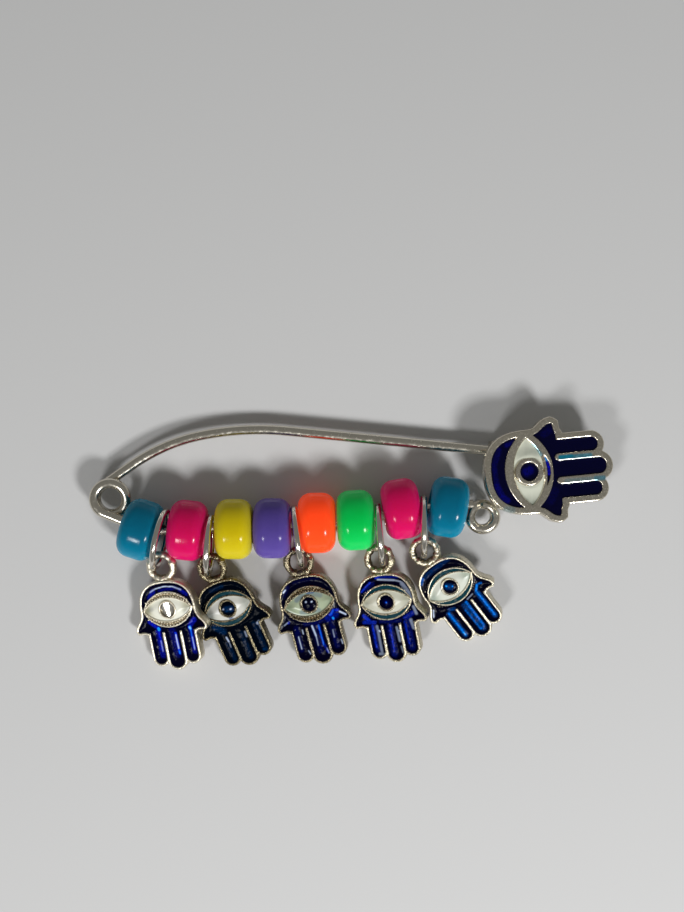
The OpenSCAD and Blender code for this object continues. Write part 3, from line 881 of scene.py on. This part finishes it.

# %% [markdown]
# ## Enamel
# The blue is a clear glaze over bright metal. Where light comes back from the cell floor it glows, and along
# the walls it looks nearly black. Real refraction at this size would be slow and noisy, so that light from
# the floor is painted into the colour by masks that each mesh carries. Other masks say where the glaze is
# pale, which is a painted highlight on some strokes and a chip or thin glaze on others, and where it is the
# teal of the eyelids. Surface tension pulls the glaze into a hollow between its walls, which draws the lamps
# out into thin streaks. White is opaque and pearly.

# %% Blue enamel
def blue_enamel(name, dark, painted_lit_blue, shine, azure="#18b0ff", chips_and_highlights="#c4d4f4", teal="#08343e"):
    """Clear blue over metal. The mesh carries masks: painted light from the cell floor, a painted azure
    highlight where that is above 1, pale chips and painted highlights, and teal.
    """
    material, tree, shader = start_material(name, Roughness=0.14)
    shader.inputs["Specular IOR Level"].default_value = shine
    place = add(tree, "ShaderNodeTexCoord")
    cloud = add(tree, "ShaderNodeTexNoise", {"Vector": place.outputs["Object"], "Scale": per_mm(0.9),
                                             "Detail": 3.0})
    grain = add(tree, "ShaderNodeTexNoise", {"Vector": place.outputs["Object"], "Scale": per_mm(0.22),
                                             "Detail": 2.0})
    mottle = add(tree, "ShaderNodeMapRange", {"Value": grain.outputs["Fac"], "From Min": 0.3,
                                              "From Max": 0.65, "To Min": 0.25, "To Max": 1.25})
    # Painted light: where light would come back from the cell floor, broken up by a fine grain
    painted_floor_light = add(tree, "ShaderNodeAttribute", attribute_name="painted_floor_light")
    shown = add(tree, "ShaderNodeMath", {0: painted_floor_light.outputs["Fac"], 1: mottle.outputs["Result"]},
                operation="MULTIPLY", use_clamp=True)
    colour = add(tree, "ShaderNodeMix", {"Factor": shown.outputs["Value"], "A": linear(dark),
                                         "B": linear(painted_lit_blue)}, data_type="RGBA")
    # Painted highlight: azure where the painted light is above 1
    painted_highlight = add(tree, "ShaderNodeMapRange", {"Value": painted_floor_light.outputs["Fac"], "From Min": 1.0, "From Max": 2.0})
    colour = add(tree, "ShaderNodeMix", {"Factor": painted_highlight.outputs["Result"], "A": colour.outputs["Result"],
                                         "B": linear(azure)}, data_type="RGBA")
    # Pale is partly painted highlights and partly real chips; teal is the eyelids' own colour
    for mask, tint in (("teal", teal), ("chips_and_highlights", chips_and_highlights)):
        place_mask = add(tree, "ShaderNodeAttribute", attribute_name=mask)
        colour = add(tree, "ShaderNodeMix", {"Factor": place_mask.outputs["Fac"],
                                             "A": colour.outputs["Result"], "B": linear(tint)},
                     data_type="RGBA")
    tree.links.new(colour.outputs["Result"], shader.inputs["Base Color"])
    bump = add(tree, "ShaderNodeBump", {"Height": cloud.outputs["Fac"], "Strength": 1.0,
                                        "Distance": 0.12 * MM})
    tree.links.new(bump.outputs["Normal"], shader.inputs["Normal"])
    return material


# The second blue is the colour of the head's painted light
navy_glaze = blue_enamel("vitreous_navy_enamel", "#00001c", "#0608a0", 0.12)
print("glaze on the head:", navy_glaze.name)

# %% White enamel
def white_enamel(name, base, shade):
    """Opaque pearly glaze. The mesh carries masks for its painted shade and for blue that has run into it."""
    material, tree, shader = start_material(name, Roughness=0.22)
    shader.inputs["Specular IOR Level"].default_value = 0.35
    place = add(tree, "ShaderNodeTexCoord")
    cloud = add(tree, "ShaderNodeTexNoise", {"Vector": place.outputs["Object"], "Scale": per_mm(2.2),
                                             "Detail": 2.0})
    uneven = add(tree, "ShaderNodeMapRange", {"Value": cloud.outputs["Fac"], "From Min": 0.35,
                                              "From Max": 0.6, "To Min": 0.5, "To Max": 1.0})
    # Painted shade: the white turns to the shade colour where the corner mask rises
    corner = add(tree, "ShaderNodeAttribute", attribute_name="corner")
    tint = add(tree, "ShaderNodeMath", {0: uneven.outputs["Result"], 1: corner.outputs["Fac"]},
               operation="MULTIPLY")
    colour = add(tree, "ShaderNodeMix", {"Factor": tint.outputs["Value"], "A": linear(base),
                                         "B": linear(shade)}, data_type="RGBA")
    stain = add(tree, "ShaderNodeAttribute", attribute_name="stain")
    colour = add(tree, "ShaderNodeMix", {"Factor": stain.outputs["Fac"], "A": colour.outputs["Result"],
                                         "B": linear("#3c5a86")}, data_type="RGBA")
    tree.links.new(colour.outputs["Result"], shader.inputs["Base Color"])
    return material


# The second colour is the painted shade of the head's white
pearl_glaze = white_enamel("pearly_white_enamel", "#ced1c1", "#7c8276")
print("white on the head:", pearl_glaze.name)

# %% Navy in the head's cells
# The glaze laps over the metal by this much, so no gap shows along the walls
LAP = 0.03
ENAMEL_LEVEL = -0.3


def pooled(distance, level, rise, hollow):
    """Height of glaze that climbs where it meets the metal, from a level that it has beyond the hollow."""
    inside = np.clip(-distance, 0, hollow)
    return level + rise * (1 - inside / hollow) ** 2


def to_all_navy(x, y):
    return np.minimum(np.minimum(to_blue(x, y, HEAD), to_dot(x, y, HEAD)), to_slit(x, y)) - LAP


def navy_top(x, y):
    return pooled(to_all_navy(x, y), ENAMEL_LEVEL, 0.1, 0.6)


# Painted light: where the head's navy is lighter, on the crescent's outer edge, the dot, the slit and one
# thumb
HEAD_PAINTED_LIGHT = [
    (-3.9, 3.9, -3.3, 4.6, 0.45, 0.3),
    (-3.3, 4.6, -1.6, 5.2, 0.45, 0.24),
    (-1.6, 5.2, 1.6, 5.3, 0.35, 0.14),
    (1.6, 5.2, 3.6, 4.3, 0.4, 0.12),
    (4.2, 3.2, 4.6, 2.0, 0.3, 0.22),
    (0.0, 0.6, 0.2, 0.1, 0.6, 0.25),
    (-0.6, -2.75, 0.6, -2.8, 0.2, 0.8),
    (0.6, -2.75, 1.5, -2.6, 0.2, 1.0),
    (1.5, -2.6, 2.1, -2.35, 0.2, 1.5),
    (5.3, -2.6, 5.8, -3.5, 0.5, 0.08),
    (-4.6, -2.6, -3.2, -3.4, 0.6, 0.06),
]
head_blue = relief(to_all_navy, navy_top, low, high, 0.11, [(0, -0.7)])
filling = piece("head_navy_filling", [head_blue], navy_glaze, "head_blue_enamel", placed=head_place,
                sharp_deg=75, layers={"painted_floor_light": strokes(HEAD_PAINTED_LIGHT, 0.01)})
print("faces in the head's navy:", len(head_blue[1]))

# %% White in the head's eye
def head_white_top(x, y):
    """The white swells in the middle of the eye and sinks a little where it meets the iris."""
    y = y - HEAD["eye_y"]
    inside = np.clip(-to_almond(x, y, *HEAD["white"]), 0, None)
    sinks = step_up(1 - (np.hypot(x, y) - HEAD["iris"]) / 0.4)
    return ENAMEL_LEVEL + 0.45 * step_up(inside / 2.0) - 0.1 * sinks


def head_white_shade(x, y, z):
    """Painted shade: the white is darkest in its left corner, with a weaker dark band to the right of the
    iris.
    """
    return np.maximum(step_up((-x - 2.6) / 2.2), 0.6 * step_up(1 - np.abs(x - 2.9) / 1.2))


head_eye = relief(lambda x, y: to_white(x, y, HEAD) - LAP, head_white_top, low, high, 0.1, [(0, -0.7)])
eye = piece("head_white_filling", [head_eye], pearl_glaze, "head_white_enamel", placed=head_place,
            sharp_deg=75, layers={"corner": head_white_shade})
print("faces in the head's white:", len(head_eye[1]))

# %% [markdown]
# ## The five charms
# The charms are small rough castings from one mould. They differ in how the enamel came out. Copies of one
# model would all look alike, so functions build them, and tables give each its place, its colours and what
# shows in its glaze.

# %% Charm metal
# The round edge that stays beside each eyelid's band
EYELID = 0.12
CHARM_CELL = 0.5


def to_lids(x, y, hand):
    """The sunk bands of the two eyelids, between the blue and the white."""
    y = y - hand["eye_y"]
    outer = to_almond(x, y, hand["lid"][0] - EYELID, hand["lid"][1] - EYELID)
    return np.maximum(outer, -to_almond(x, y, hand["white"][0] + EYELID, hand["white"][1] + EYELID))


def charm_metal(blue_iris):
    """Height of a charm's metal, with or without a cell for the iris."""
    hand = CHARM

    def height(x, y):
        r = np.hypot(x, y - hand["eye_y"])
        z = worn_edge(-to_hand(x, y, hand), 0.2)
        z = z + cell(to_blue(x, y, hand), CHARM_CELL, 0.2, 0.14)
        z = z + cell(to_white(x, y, hand), CHARM_CELL, 0.16, 0.14)
        z = z + cell(to_lids(x, y, hand), 0.16, 0.12, 0.08)
        if blue_iris:
            z = z + cell(to_dot(x, y, hand), CHARM_CELL, 0.14, 0.12)
        else:
            z = z - 0.7 * step_up((1.2 - r) / 0.12)
        return z
    return height


print("cells in a charm are", CHARM_CELL, "mm deep")

# %% Loops, wires and grains
CHARM_LOOP_UP = 2.0
CHARM_LOOP_R = 1.85
CHARM_LOOP_WIRE = 0.53
IRIS_WIRE_R = 1.28
# Where the neck of the loop has points across the charm's top, and its radius there
NECK_ROWS = [(-1.5, 0.2), (-1.1, 0.5), (-0.4, 0.6), (0.4, 0.6), (1.1, 0.5), (1.5, 0.2)]
# Rows of grains in eyelids without glaze and in filled ones: out from the white, radius, pitch and height
BARE_GRAINS = [(0.25, 0.15, 0.42, -0.06), (0.6, 0.15, 0.46, -0.07)]
FINE_GRAINS = [(0.14, 0.07, 0.32, -0.01), (0.84, 0.08, 0.34, -0.02)]


def ring_points(r, y, z, step):
    """Points round a circle in the plane of the hand, a step of degrees apart."""
    turns = [math.radians(degrees) for degrees in range(0, 360, step)]
    return [(r * math.cos(a), y + r * math.sin(a), z) for a in turns]


def rough_loop(hand, seed):
    """The loop at a charm's top, cast in one with it: a thick ring with an uneven skin."""
    draw = np.random.default_rng(seed)
    bumps = [(draw.integers(3, 14), draw.uniform(0, 2 * math.pi), draw.uniform(0.012, 0.03))
             for _ in range(9)]
    radius = [CHARM_LOOP_WIRE + sum(size * math.sin(count * math.radians(degrees) + start)
                                    for count, start, size in bumps) for degrees in range(0, 360, 5)]
    points = ring_points(CHARM_LOOP_R, hand["top"] + CHARM_LOOP_UP, -hand["thick"] / 2, 5)
    return wire(points, radius, sides=16, closed=True, flat=1.35)


def charm_rings(hand, seed):
    """The loop and its neck, and the round wires that frame the white and the iris."""
    neck = [(px, hand["top"] + 0.2, -hand["thick"] / 2) for px, _ in NECK_ROWS]
    white_edge = almond_points(*hand["white"], 0.25, 0.0, out=0.06)
    return [
        rough_loop(hand, seed),
        wire(neck, [radius for _, radius in NECK_ROWS], flat=1.1),
        wire(ring_points(IRIS_WIRE_R, hand["eye_y"], 0.03, 10), 0.13, sides=8, closed=True),
        wire([(px, py + hand["eye_y"], pz) for px, py, pz in white_edge], 0.08, sides=8, closed=True),
    ]


def lid_grains(hand, rows, seed):
    """Small balls along the eyelids, each a little out of line."""
    draw = np.random.default_rng(seed)
    parts = []
    for out, radius, pitch, z in rows:
        spots = [(px + draw.uniform(-0.05, 0.05), py + hand["eye_y"] + draw.uniform(-0.04, 0.04), pz)
                 for px, py, pz in almond_points(*hand["white"], pitch, z, out=out)
                 if abs(px) < hand["white"][0] - 0.1]
        parts.append(balls(spots, radius))
    return parts


print("corners in a charm's loop and wires:", sum(len(part[0]) for part in charm_rings(CHARM, 0)))

# %% Lay the charms down
# Where each charm lies: node, middle of the eye in mm, turn, how far its loop is raised and its left lowered
CHARM_PLACES = [
    ("charm_1", (-27.32, -10.06), 7.9, 7.8, -15.7),
    ("charm_2", (-18.26, -9.9), 21.2, 7.4, -14.2),
    ("charm_3", (-6.13, -9.32), 14.2, 5.2, -9.6),
    ("charm_4", (5.43, -8.96), 9.0, 7.7, -17.2),
    ("charm_5", (15.09, -6.61), 35.7, 7.3, -16.4),
]
low, high = hand_window(CHARM)
charm_wall = [(-0.02, -0.6), (-0.02, 0.3 - CHARM["thick"]), (0.15, -CHARM["thick"])]
metal_relief = {
    blue_iris: relief(lambda x, y: to_hand(x, y, CHARM), charm_metal(blue_iris), low, high, 0.075, charm_wall)
    for blue_iris in (True, False)
}


def charm_place(node, middle, turn, raised, rolled):
    """A charm's matrix. Its height puts the lowest corner where the solid model has it."""
    turned = Euler([math.radians(a) for a in (raised, rolled, turn)]).to_matrix().to_4x4()
    floor_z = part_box(node)[0][2]
    corners = np.array(metal_relief[True][0]) * MM
    sunk = (corners @ np.array(turned.to_3x3()).T)[:, 2].min()
    return Matrix.Translation((middle[0] * MM, middle[1] * MM, floor_z - sunk)) @ turned


placed = {row[0]: charm_place(*row) for row in CHARM_PLACES}
print("faces in a charm's metal:", len(metal_relief[True][1]))

# %% Cast and plate the charms
def charm_tarnish_and_loop_shade(x, y, z):
    """Old polish is brown on the eyelids' floors and round the iris. Inside the loop the brown is painted
    shade.
    """
    lids = step_up(-to_lids(x, y, CHARM) / 0.06) * step_up((-0.01 - z) / 0.1)
    r = np.hypot(x, y - CHARM["eye_y"])
    groove = step_up(1.5 - np.abs(r - CHARM["iris"]) / 0.08) * step_up(-z / 0.08)
    socket = (r < 1.22) * (z < -0.3) * (z > -1.0)
    # Painted shade inside the loop's hole
    inside_loop = 0.8 * step_up((1.62 - np.hypot(x, y - CHARM["top"] - CHARM_LOOP_UP)) / 0.2)
    return np.maximum(np.maximum(lids, groove) * (z > -0.4), np.maximum(socket, inside_loop))


# Colour, roughness and height of the marks in each casting's plating, and the colour of its tarnish, which
# is also the painted shade inside its loop. The darker platings of charms 2, 3 and 4 are partly duller metal
# and partly painted shade.
PLATINGS_AND_SHADE = {
    "charm_1": ("#ece4d0", 0.36, 0.08, "#8e8064"),
    "charm_2": ("#8c8268", 0.26, 0.16, "#4e402a"),
    "charm_3": ("#9a9078", 0.26, 0.15, "#4e402a"),
    "charm_4": ("#c8bfa6", 0.28, 0.13, "#5c4e36"),
    "charm_5": ("#d8d0ba", 0.3, 0.1, "#5c4e36"),
}
for number, (node, matrix) in enumerate(placed.items()):
    blue_iris = node != "charm_1"
    grains = BARE_GRAINS if node in ("charm_1", "charm_3") else FINE_GRAINS
    parts = [metal_relief[blue_iris]] + charm_rings(CHARM, number) + lid_grains(CHARM, grains, number)
    colour, roughness, mark_height, tint_and_shade = PLATINGS_AND_SHADE[node]
    metal = nickel("nickel_plated_casting_" + node, colour, roughness, 0.3, mark_height, tint_and_shade)
    casting = piece(node + "_casting", parts, metal, node, placed=matrix, sharp_deg=75,
                    layers={"tint_and_shade": charm_tarnish_and_loop_shade})
print("charms cast:", len(placed))

# %% Polished disc in the first charm's iris
MIRROR_R = 1.04


def mirror_height(x, y):
    """The disc leans a little and is bent across, more so towards the fingers."""
    return 0.11 * y - 0.14 * x - 0.1 - (0.17 - 0.06 * y) * x * x


mirror = relief(lambda x, y: to_circle(x, y - CHARM["eye_y"], MIRROR_R), mirror_height,
                (-1.4, -1.2), (1.4, 1.6), 0.1, [(0, -0.8)])
disc = piece("charm_1_iris", [mirror], ring_nickel, "charm_1", placed=placed["charm_1"], sharp_deg=75)
print("faces in the disc:", len(mirror[1]))

# %% [markdown]
# ## What shows in the glaze
# Each charm's blue shows painted streaks where light comes back from the floor of a cell, and some charms
# have pale patches: painted highlights, and spots where the glaze is chipped or thin. They are short strokes
# with round ends, set from looking at the photo: x and y of both ends in mm from the middle of the hand,
# half width and strength.
# Painting them on an image would need a file beside the script, and strokes stay sharp at any size.

# %% Painted streaks of light in the blue
PAINTED_LIGHT_STREAKS = {
    "charm_1": [
        (-2.6, 2.2, -1.9, 3.1, 0.35, 0.5), (-0.8, 3.2, 1.8, 3.3, 0.25, 0.2),
        (2.4, 3.0, 3.4, 2.2, 0.25, 0.35), (-3.4, -1.5, -2.3, -2.5, 0.3, 0.6),
        (-2.15, -2.65, -2.1, -2.8, 0.28, 1.8), (-2.3, -3.2, -2.25, -6.8, 0.45, 0.3),
        (-2.2, -3.0, -2.2, -6.2, 0.17, 1.0), (0.0, -3.2, 0.1, -6.9, 0.5, 0.14),
        (0.4, -3.6, 0.5, -6.8, 0.2, 1.15), (0.45, -6.5, 0.5, -6.8, 0.16, 1.5),
        (3.0, -3.4, 3.0, -6.6, 0.42, 0.26), (2.95, -3.2, 3.0, -6.2, 0.17, 1.25),
        (2.9, -2.9, 2.95, -3.1, 0.26, 1.9), (3.0, -2.6, 3.8, -1.8, 0.35, 0.5),
    ],
    "charm_2": [
        (-3.2, -1.9, -2.2, -3.0, 0.5, 0.3), (-2.4, -5.0, -2.3, -7.6, 0.35, 0.16),
        (0.3, -4.2, 0.2, -8.0, 0.4, 0.14), (2.8, -3.4, 2.8, -7.4, 0.4, 0.14),
        (2.6, -7.6, 3.0, -7.7, 0.25, 0.35), (-1.5, 3.5, 0.5, 3.6, 0.25, 0.2),
        (-0.2, 0.2, 0.5, 0.0, 0.45, 0.35),
    ],
    "charm_3": [
        (-2.6, 3.4, -3.4, 2.2, 0.3, 0.06), (-1.4, 3.9, 2.4, 3.8, 0.3, 0.03),
        (2.7, -2.2, 3.3, -1.6, 0.22, 1.1), (3.3, -1.6, 4.0, -1.7, 0.2, 1.0),
        (2.95, -2.7, 3.0, -2.8, 0.2, 1.8), (2.2, -2.6, 3.4, -2.3, 0.5, 0.35),
        (0.5, -3.3, 0.5, -6.4, 0.16, 1.25), (0.6, -6.4, 0.9, -7.6, 0.2, 0.5),
        (-2.9, -3.0, -3.0, -6.4, 0.4, 0.08), (2.5, -3.2, 2.5, -7.0, 0.4, 0.09),
        (-0.2, -3.2, -0.2, -7.2, 0.4, 0.08), (-3.8, -1.9, -3.9, -2.0, 0.15, 0.9),
        (-1.5, -2.7, 1.6, -2.8, 0.3, 0.1),
    ],
    "charm_4": [
        (-3.5, 2.2, -2.0, 3.4, 0.16, 0.8), (-3.0, 2.2, -1.6, 3.2, 0.3, 0.15),
        (-1.0, 4.0, -0.4, 4.1, 0.12, 0.9), (-0.5, 4.1, 2.4, 3.9, 0.25, 0.3),
        (-3.9, -1.6, -3.3, -2.4, 0.3, 0.8), (-4.1, -2.55, -2.4, -2.75, 0.24, 0.7),
        (-2.9, -3.2, -2.9, -6.6, 0.14, 0.9), (-2.7, -3.4, -2.7, -7.0, 0.45, 0.14),
        (-0.2, -3.4, -0.3, -7.6, 0.14, 0.8), (-0.2, -3.6, -0.3, -8.0, 0.45, 0.16),
        (2.2, -3.2, 2.3, -6.6, 0.16, 0.55), (2.6, -3.0, 2.6, -7.2, 0.5, 0.15),
        (2.4, -2.6, 3.6, -2.0, 0.35, 0.4), (0.0, 0.3, 0.15, 0.2, 0.4, 0.05),
        (0.05, 0.25, 0.1, 0.2, 0.12, 1.5), (-1.5, -2.7, 1.5, -2.9, 0.3, 0.12),
    ],
    "charm_5": [
        (-3.4, 2.9, -2.7, 3.5, 0.22, 0.55), (-2.4, 3.5, 2.2, 3.9, 0.38, 0.1),
        (-2.8, -3.3, -2.75, -7.3, 0.17, 1.1), (-2.8, -3.3, -2.75, -7.4, 0.36, 0.3),
        (-2.8, -7.0, -2.75, -7.4, 0.17, 1.6), (0.45, -3.2, 0.45, -7.6, 0.2, 0.8),
        (-0.4, -4.2, -0.3, -7.9, 0.14, 0.6), (0.0, -3.6, 0.1, -7.9, 0.5, 0.22),
        (-0.2, -7.9, 0.2, -7.9, 0.15, 0.9), (2.75, -2.9, 2.8, -7.2, 0.18, 1.1),
        (2.75, -2.9, 2.8, -7.3, 0.38, 0.3), (2.75, -2.6, 3.4, -1.9, 0.17, 1.2),
        (3.4, -1.85, 4.1, -2.0, 0.14, 0.8), (-2.4, -2.8, -1.6, -3.1, 0.25, 0.25),
        (-0.3, 0.5, 0.1, 0.2, 0.45, 0.2), (-0.4, 0.65, -0.3, 0.6, 0.12, 1.9),
        (0.4, 0.1, 0.45, 0.1, 0.1, 1.6),
    ],
}
print("streaks:", sum(len(rows) for rows in PAINTED_LIGHT_STREAKS.values()))

# %% Pale patches, partly painted highlights and partly chips, and stains
CHIPS_AND_HIGHLIGHTS = {
    "charm_1": [
        (-2.4, 3.05, -1.4, 3.5, 0.1, 0.5), (-1.4, 3.5, 0.0, 3.72, 0.08, 0.9),
        (0.0, 3.72, 1.4, 3.55, 0.08, 0.9), (1.4, 3.55, 2.6, 2.95, 0.1, 0.6),
        (0.4, -3.9, 0.45, -6.0, 0.1, 0.9), (-2.15, -4.6, -2.15, -6.2, 0.09, 0.45),
        (3.0, -4.5, 3.0, -6.4, 0.09, 0.5), (2.85, -2.95, 2.95, -3.05, 0.12, 0.6),
    ],
    "charm_2": [
        (-2.2, -4.0, -2.1, -4.7, 0.14, 0.7), (-2.1, -5.0, -2.15, -5.6, 0.1, 0.3),
        (0.95, -4.1, 0.9, -4.8, 0.16, 0.35), (3.3, -3.5, 3.7, -3.3, 0.2, 0.5),
        (3.6, -3.8, 3.6, -4.4, 0.2, 0.3), (0.4, 0.0, 0.5, 0.0, 0.12, 0.9),
        (-0.75, 0.3, -0.6, 0.35, 0.1, 0.6),
    ],
    "charm_3": [
        (-3.4, 2.75, -3.0, 3.05, 0.12, 0.8), (-2.95, -4.4, -2.95, -6.3, 0.08, 0.8),
        (-2.1, -3.5, -2.1, -4.1, 0.08, 0.6), (-0.5, -3.2, -0.3, -4.8, 0.12, 0.8),
        (-0.3, -4.8, -0.35, -6.3, 0.08, 0.5), (2.45, -4.5, 2.4, -5.6, 0.09, 0.35),
        (3.35, -6.2, 3.4, -6.8, 0.1, 0.6), (-2.0, -6.8, -1.8, -7.3, 0.08, 0.6),
        (0.85, -7.0, 1.0, -7.8, 0.07, 0.5), (4.2, -2.0, 5.0, -2.6, 0.12, 0.9),
        (4.0, 2.3, 4.1, 1.7, 0.1, 0.4), (-4.6, -2.2, -4.0, -1.9, 0.1, 0.35),
        (-0.35, 0.65, -0.3, 0.65, 0.12, 0.9), (0.5, 0.5, 0.55, 0.5, 0.12, 0.9),
    ],
    "charm_4": [
        (-0.7, 3.75, 1.8, 3.35, 0.13, 0.5), (1.8, 3.35, 2.8, 3.0, 0.12, 0.35),
        (2.9, 2.7, 3.7, 1.2, 0.3, 0.3), (3.7, 1.2, 4.0, 0.3, 0.2, 0.25),
        (4.0, -1.0, 4.2, -2.1, 0.22, 0.35), (3.2, -3.0, 3.4, -4.2, 0.25, 0.35),
        (-2.2, -3.4, -2.2, -7.6, 0.2, 0.3), (0.8, -3.9, 0.9, -6.0, 0.2, 0.35),
        (1.0, -6.9, 1.1, -7.8, 0.16, 0.25), (-2.6, -7.7, -1.8, -7.8, 0.18, 0.35),
        (-2.0, -4.1, -1.9, -4.2, 0.13, 0.9), (1.15, -4.4, 1.25, -4.5, 0.13, 0.9),
    ],
    "charm_5": [
        (-3.5, 3.3, -3.1, 3.7, 0.1, 0.5), (-5.0, -2.4, -4.4, -1.5, 0.1, 0.6),
        (-2.75, -7.2, -2.8, -7.3, 0.1, 0.3), (0.9, -2.9, 2.0, -2.7, 0.1, 0.3),
    ],
}
# Blue that has run into the white of an eye
STAINS = {
    "charm_1": [(-3.3, 0.3, -2.6, 0.5, 0.4, 0.15), (2.9, -0.3, 3.4, 0.0, 0.5, 0.15)],
    "charm_2": [(-0.2, -1.3, -0.1, -1.6, 0.3, 0.8), (-3.2, 0.2, -1.8, 0.6, 0.7, 0.12)],
    "charm_3": [(-1.7, 1.2, -0.6, 1.8, 0.35, 0.5), (0.2, 2.0, 1.0, 1.9, 0.3, 0.9),
                (1.0, 1.7, 2.0, 1.2, 0.4, 0.4), (-1.4, -0.8, 1.2, -1.0, 0.35, 0.45)],
    "charm_4": [(-3.2, 0.0, -3.0, 0.2, 0.3, 0.1)],
    "charm_5": [(-3.2, 0.0, -3.0, 0.2, 0.3, 0.1)],
}
print("pale patches:", sum(len(rows) for rows in CHIPS_AND_HIGHLIGHTS.values()))

# %% Shape of the charms' enamel
def charm_blue_plan(blue_iris, filled_lids):
    """What the blue covers: the cells of the hand, and on some charms the iris and the eyelids."""
    def plan(x, y):
        d = to_blue(x, y, CHARM)
        if blue_iris:
            d = np.minimum(d, to_dot(x, y, CHARM))
        if filled_lids:
            d = np.minimum(d, to_lids(x, y, CHARM))
        return d - LAP
    return plan


def charm_blue_top(blue_iris):
    """Hollow in the cells of the hand, flat in the eyelids and domed in the iris."""
    def height(x, y):
        z = pooled(to_blue(x, y, CHARM) - LAP, -0.36, 0.28, 1.0)
        z = np.where(to_lids(x, y, CHARM) < 0.1, -0.1, z)
        r = np.hypot(x, y - CHARM["eye_y"])
        dome = -0.12 + 0.3 * np.clip(1 - (r / CHARM["dot"]) ** 2, 0, 1)
        return np.where(blue_iris & (r < CHARM["dot"] + 0.1), dome, z)
    return height


def teal_lids(x, y, z):
    """Where the glaze is the teal of the eyelids."""
    return (to_lids(x, y, CHARM) < 0.1) * 1.0


def charm_white_top(x, y):
    """The white swells towards the middle of the eye."""
    y = y - CHARM["eye_y"]
    inside = np.clip(-to_almond(x, y, *CHARM["white"]), 0, None)
    return -0.16 + 0.25 * step_up(inside / 1.2)


def painted_corner_shade(x, y, z):
    """Painted shade: the white of a charm darkens towards both corners of the eye."""
    return step_up((np.abs(x) - 1.8) / 1.6)


charm_white = relief(lambda x, y: to_white(x, y, CHARM) - LAP, charm_white_top, low, high, 0.09, [(0, -0.45)])
print("faces in a charm's white:", len(charm_white[1]))

# %% Fill the charms' cells
# Darkest blue of each charm, the blue of its painted light, its white, the painted shade of its white
# and how strongly its blue shines
BLUES = {
    "charm_1": ("#000018", "#0c20e0", "#e8e8da", "#a09c7c", 0.06),
    "charm_2": ("#00040e", "#003c78", "#c8c8c0", "#868c82", 0.02),
    "charm_3": ("#000016", "#0024c0", "#a0ac90", "#7c8870", 0.05),
    "charm_4": ("#000016", "#0a2cc4", "#c8c8b8", "#a6a692", 0.02),
    "charm_5": ("#000012", "#0068d8", "#ced2c6", "#a2ae9e", 0.05),
}
for node, matrix in placed.items():
    blue_iris = node != "charm_1"
    dark, painted_lit_blue, white, shade, shine = BLUES[node]
    plan = charm_blue_plan(blue_iris, node in ("charm_2", "charm_4", "charm_5"))
    blue_part = relief(plan, charm_blue_top(blue_iris), low, high, 0.1, [(0, -0.45)])
    glaze = blue_enamel("vitreous_blue_enamel_" + node, dark, painted_lit_blue, shine)
    masks = {"painted_floor_light": strokes(PAINTED_LIGHT_STREAKS[node]), "chips_and_highlights": strokes(CHIPS_AND_HIGHLIGHTS[node]), "teal": teal_lids}
    filling = piece(node + "_blue_filling", [blue_part], glaze, node + "_blue_enamel", placed=matrix,
                    sharp_deg=75, layers=masks)
    pearl = white_enamel("pearly_white_enamel_" + node, white, shade)
    eye = piece(node + "_white_filling", [charm_white], pearl, node + "_white_enamel", placed=matrix,
                sharp_deg=75, layers={"stain": strokes(STAINS[node]), "corner": painted_corner_shade})
print("charms dressed:", len(placed))

# %% [markdown]
# ## Sizes
# Both boxes are measured, and how far the dressed pin grows past the imported model's box is printed.
# The dressed pin has to fill the same box as the imported model, so both boxes are measured.

# %% Compare the boxes and finish
scene_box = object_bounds()
grown = [[round((after - before) / MM, 2) for after, before in zip(*corners)]
         for corners in zip(scene_box, cad_box)]
print("grown by mm:", grown)
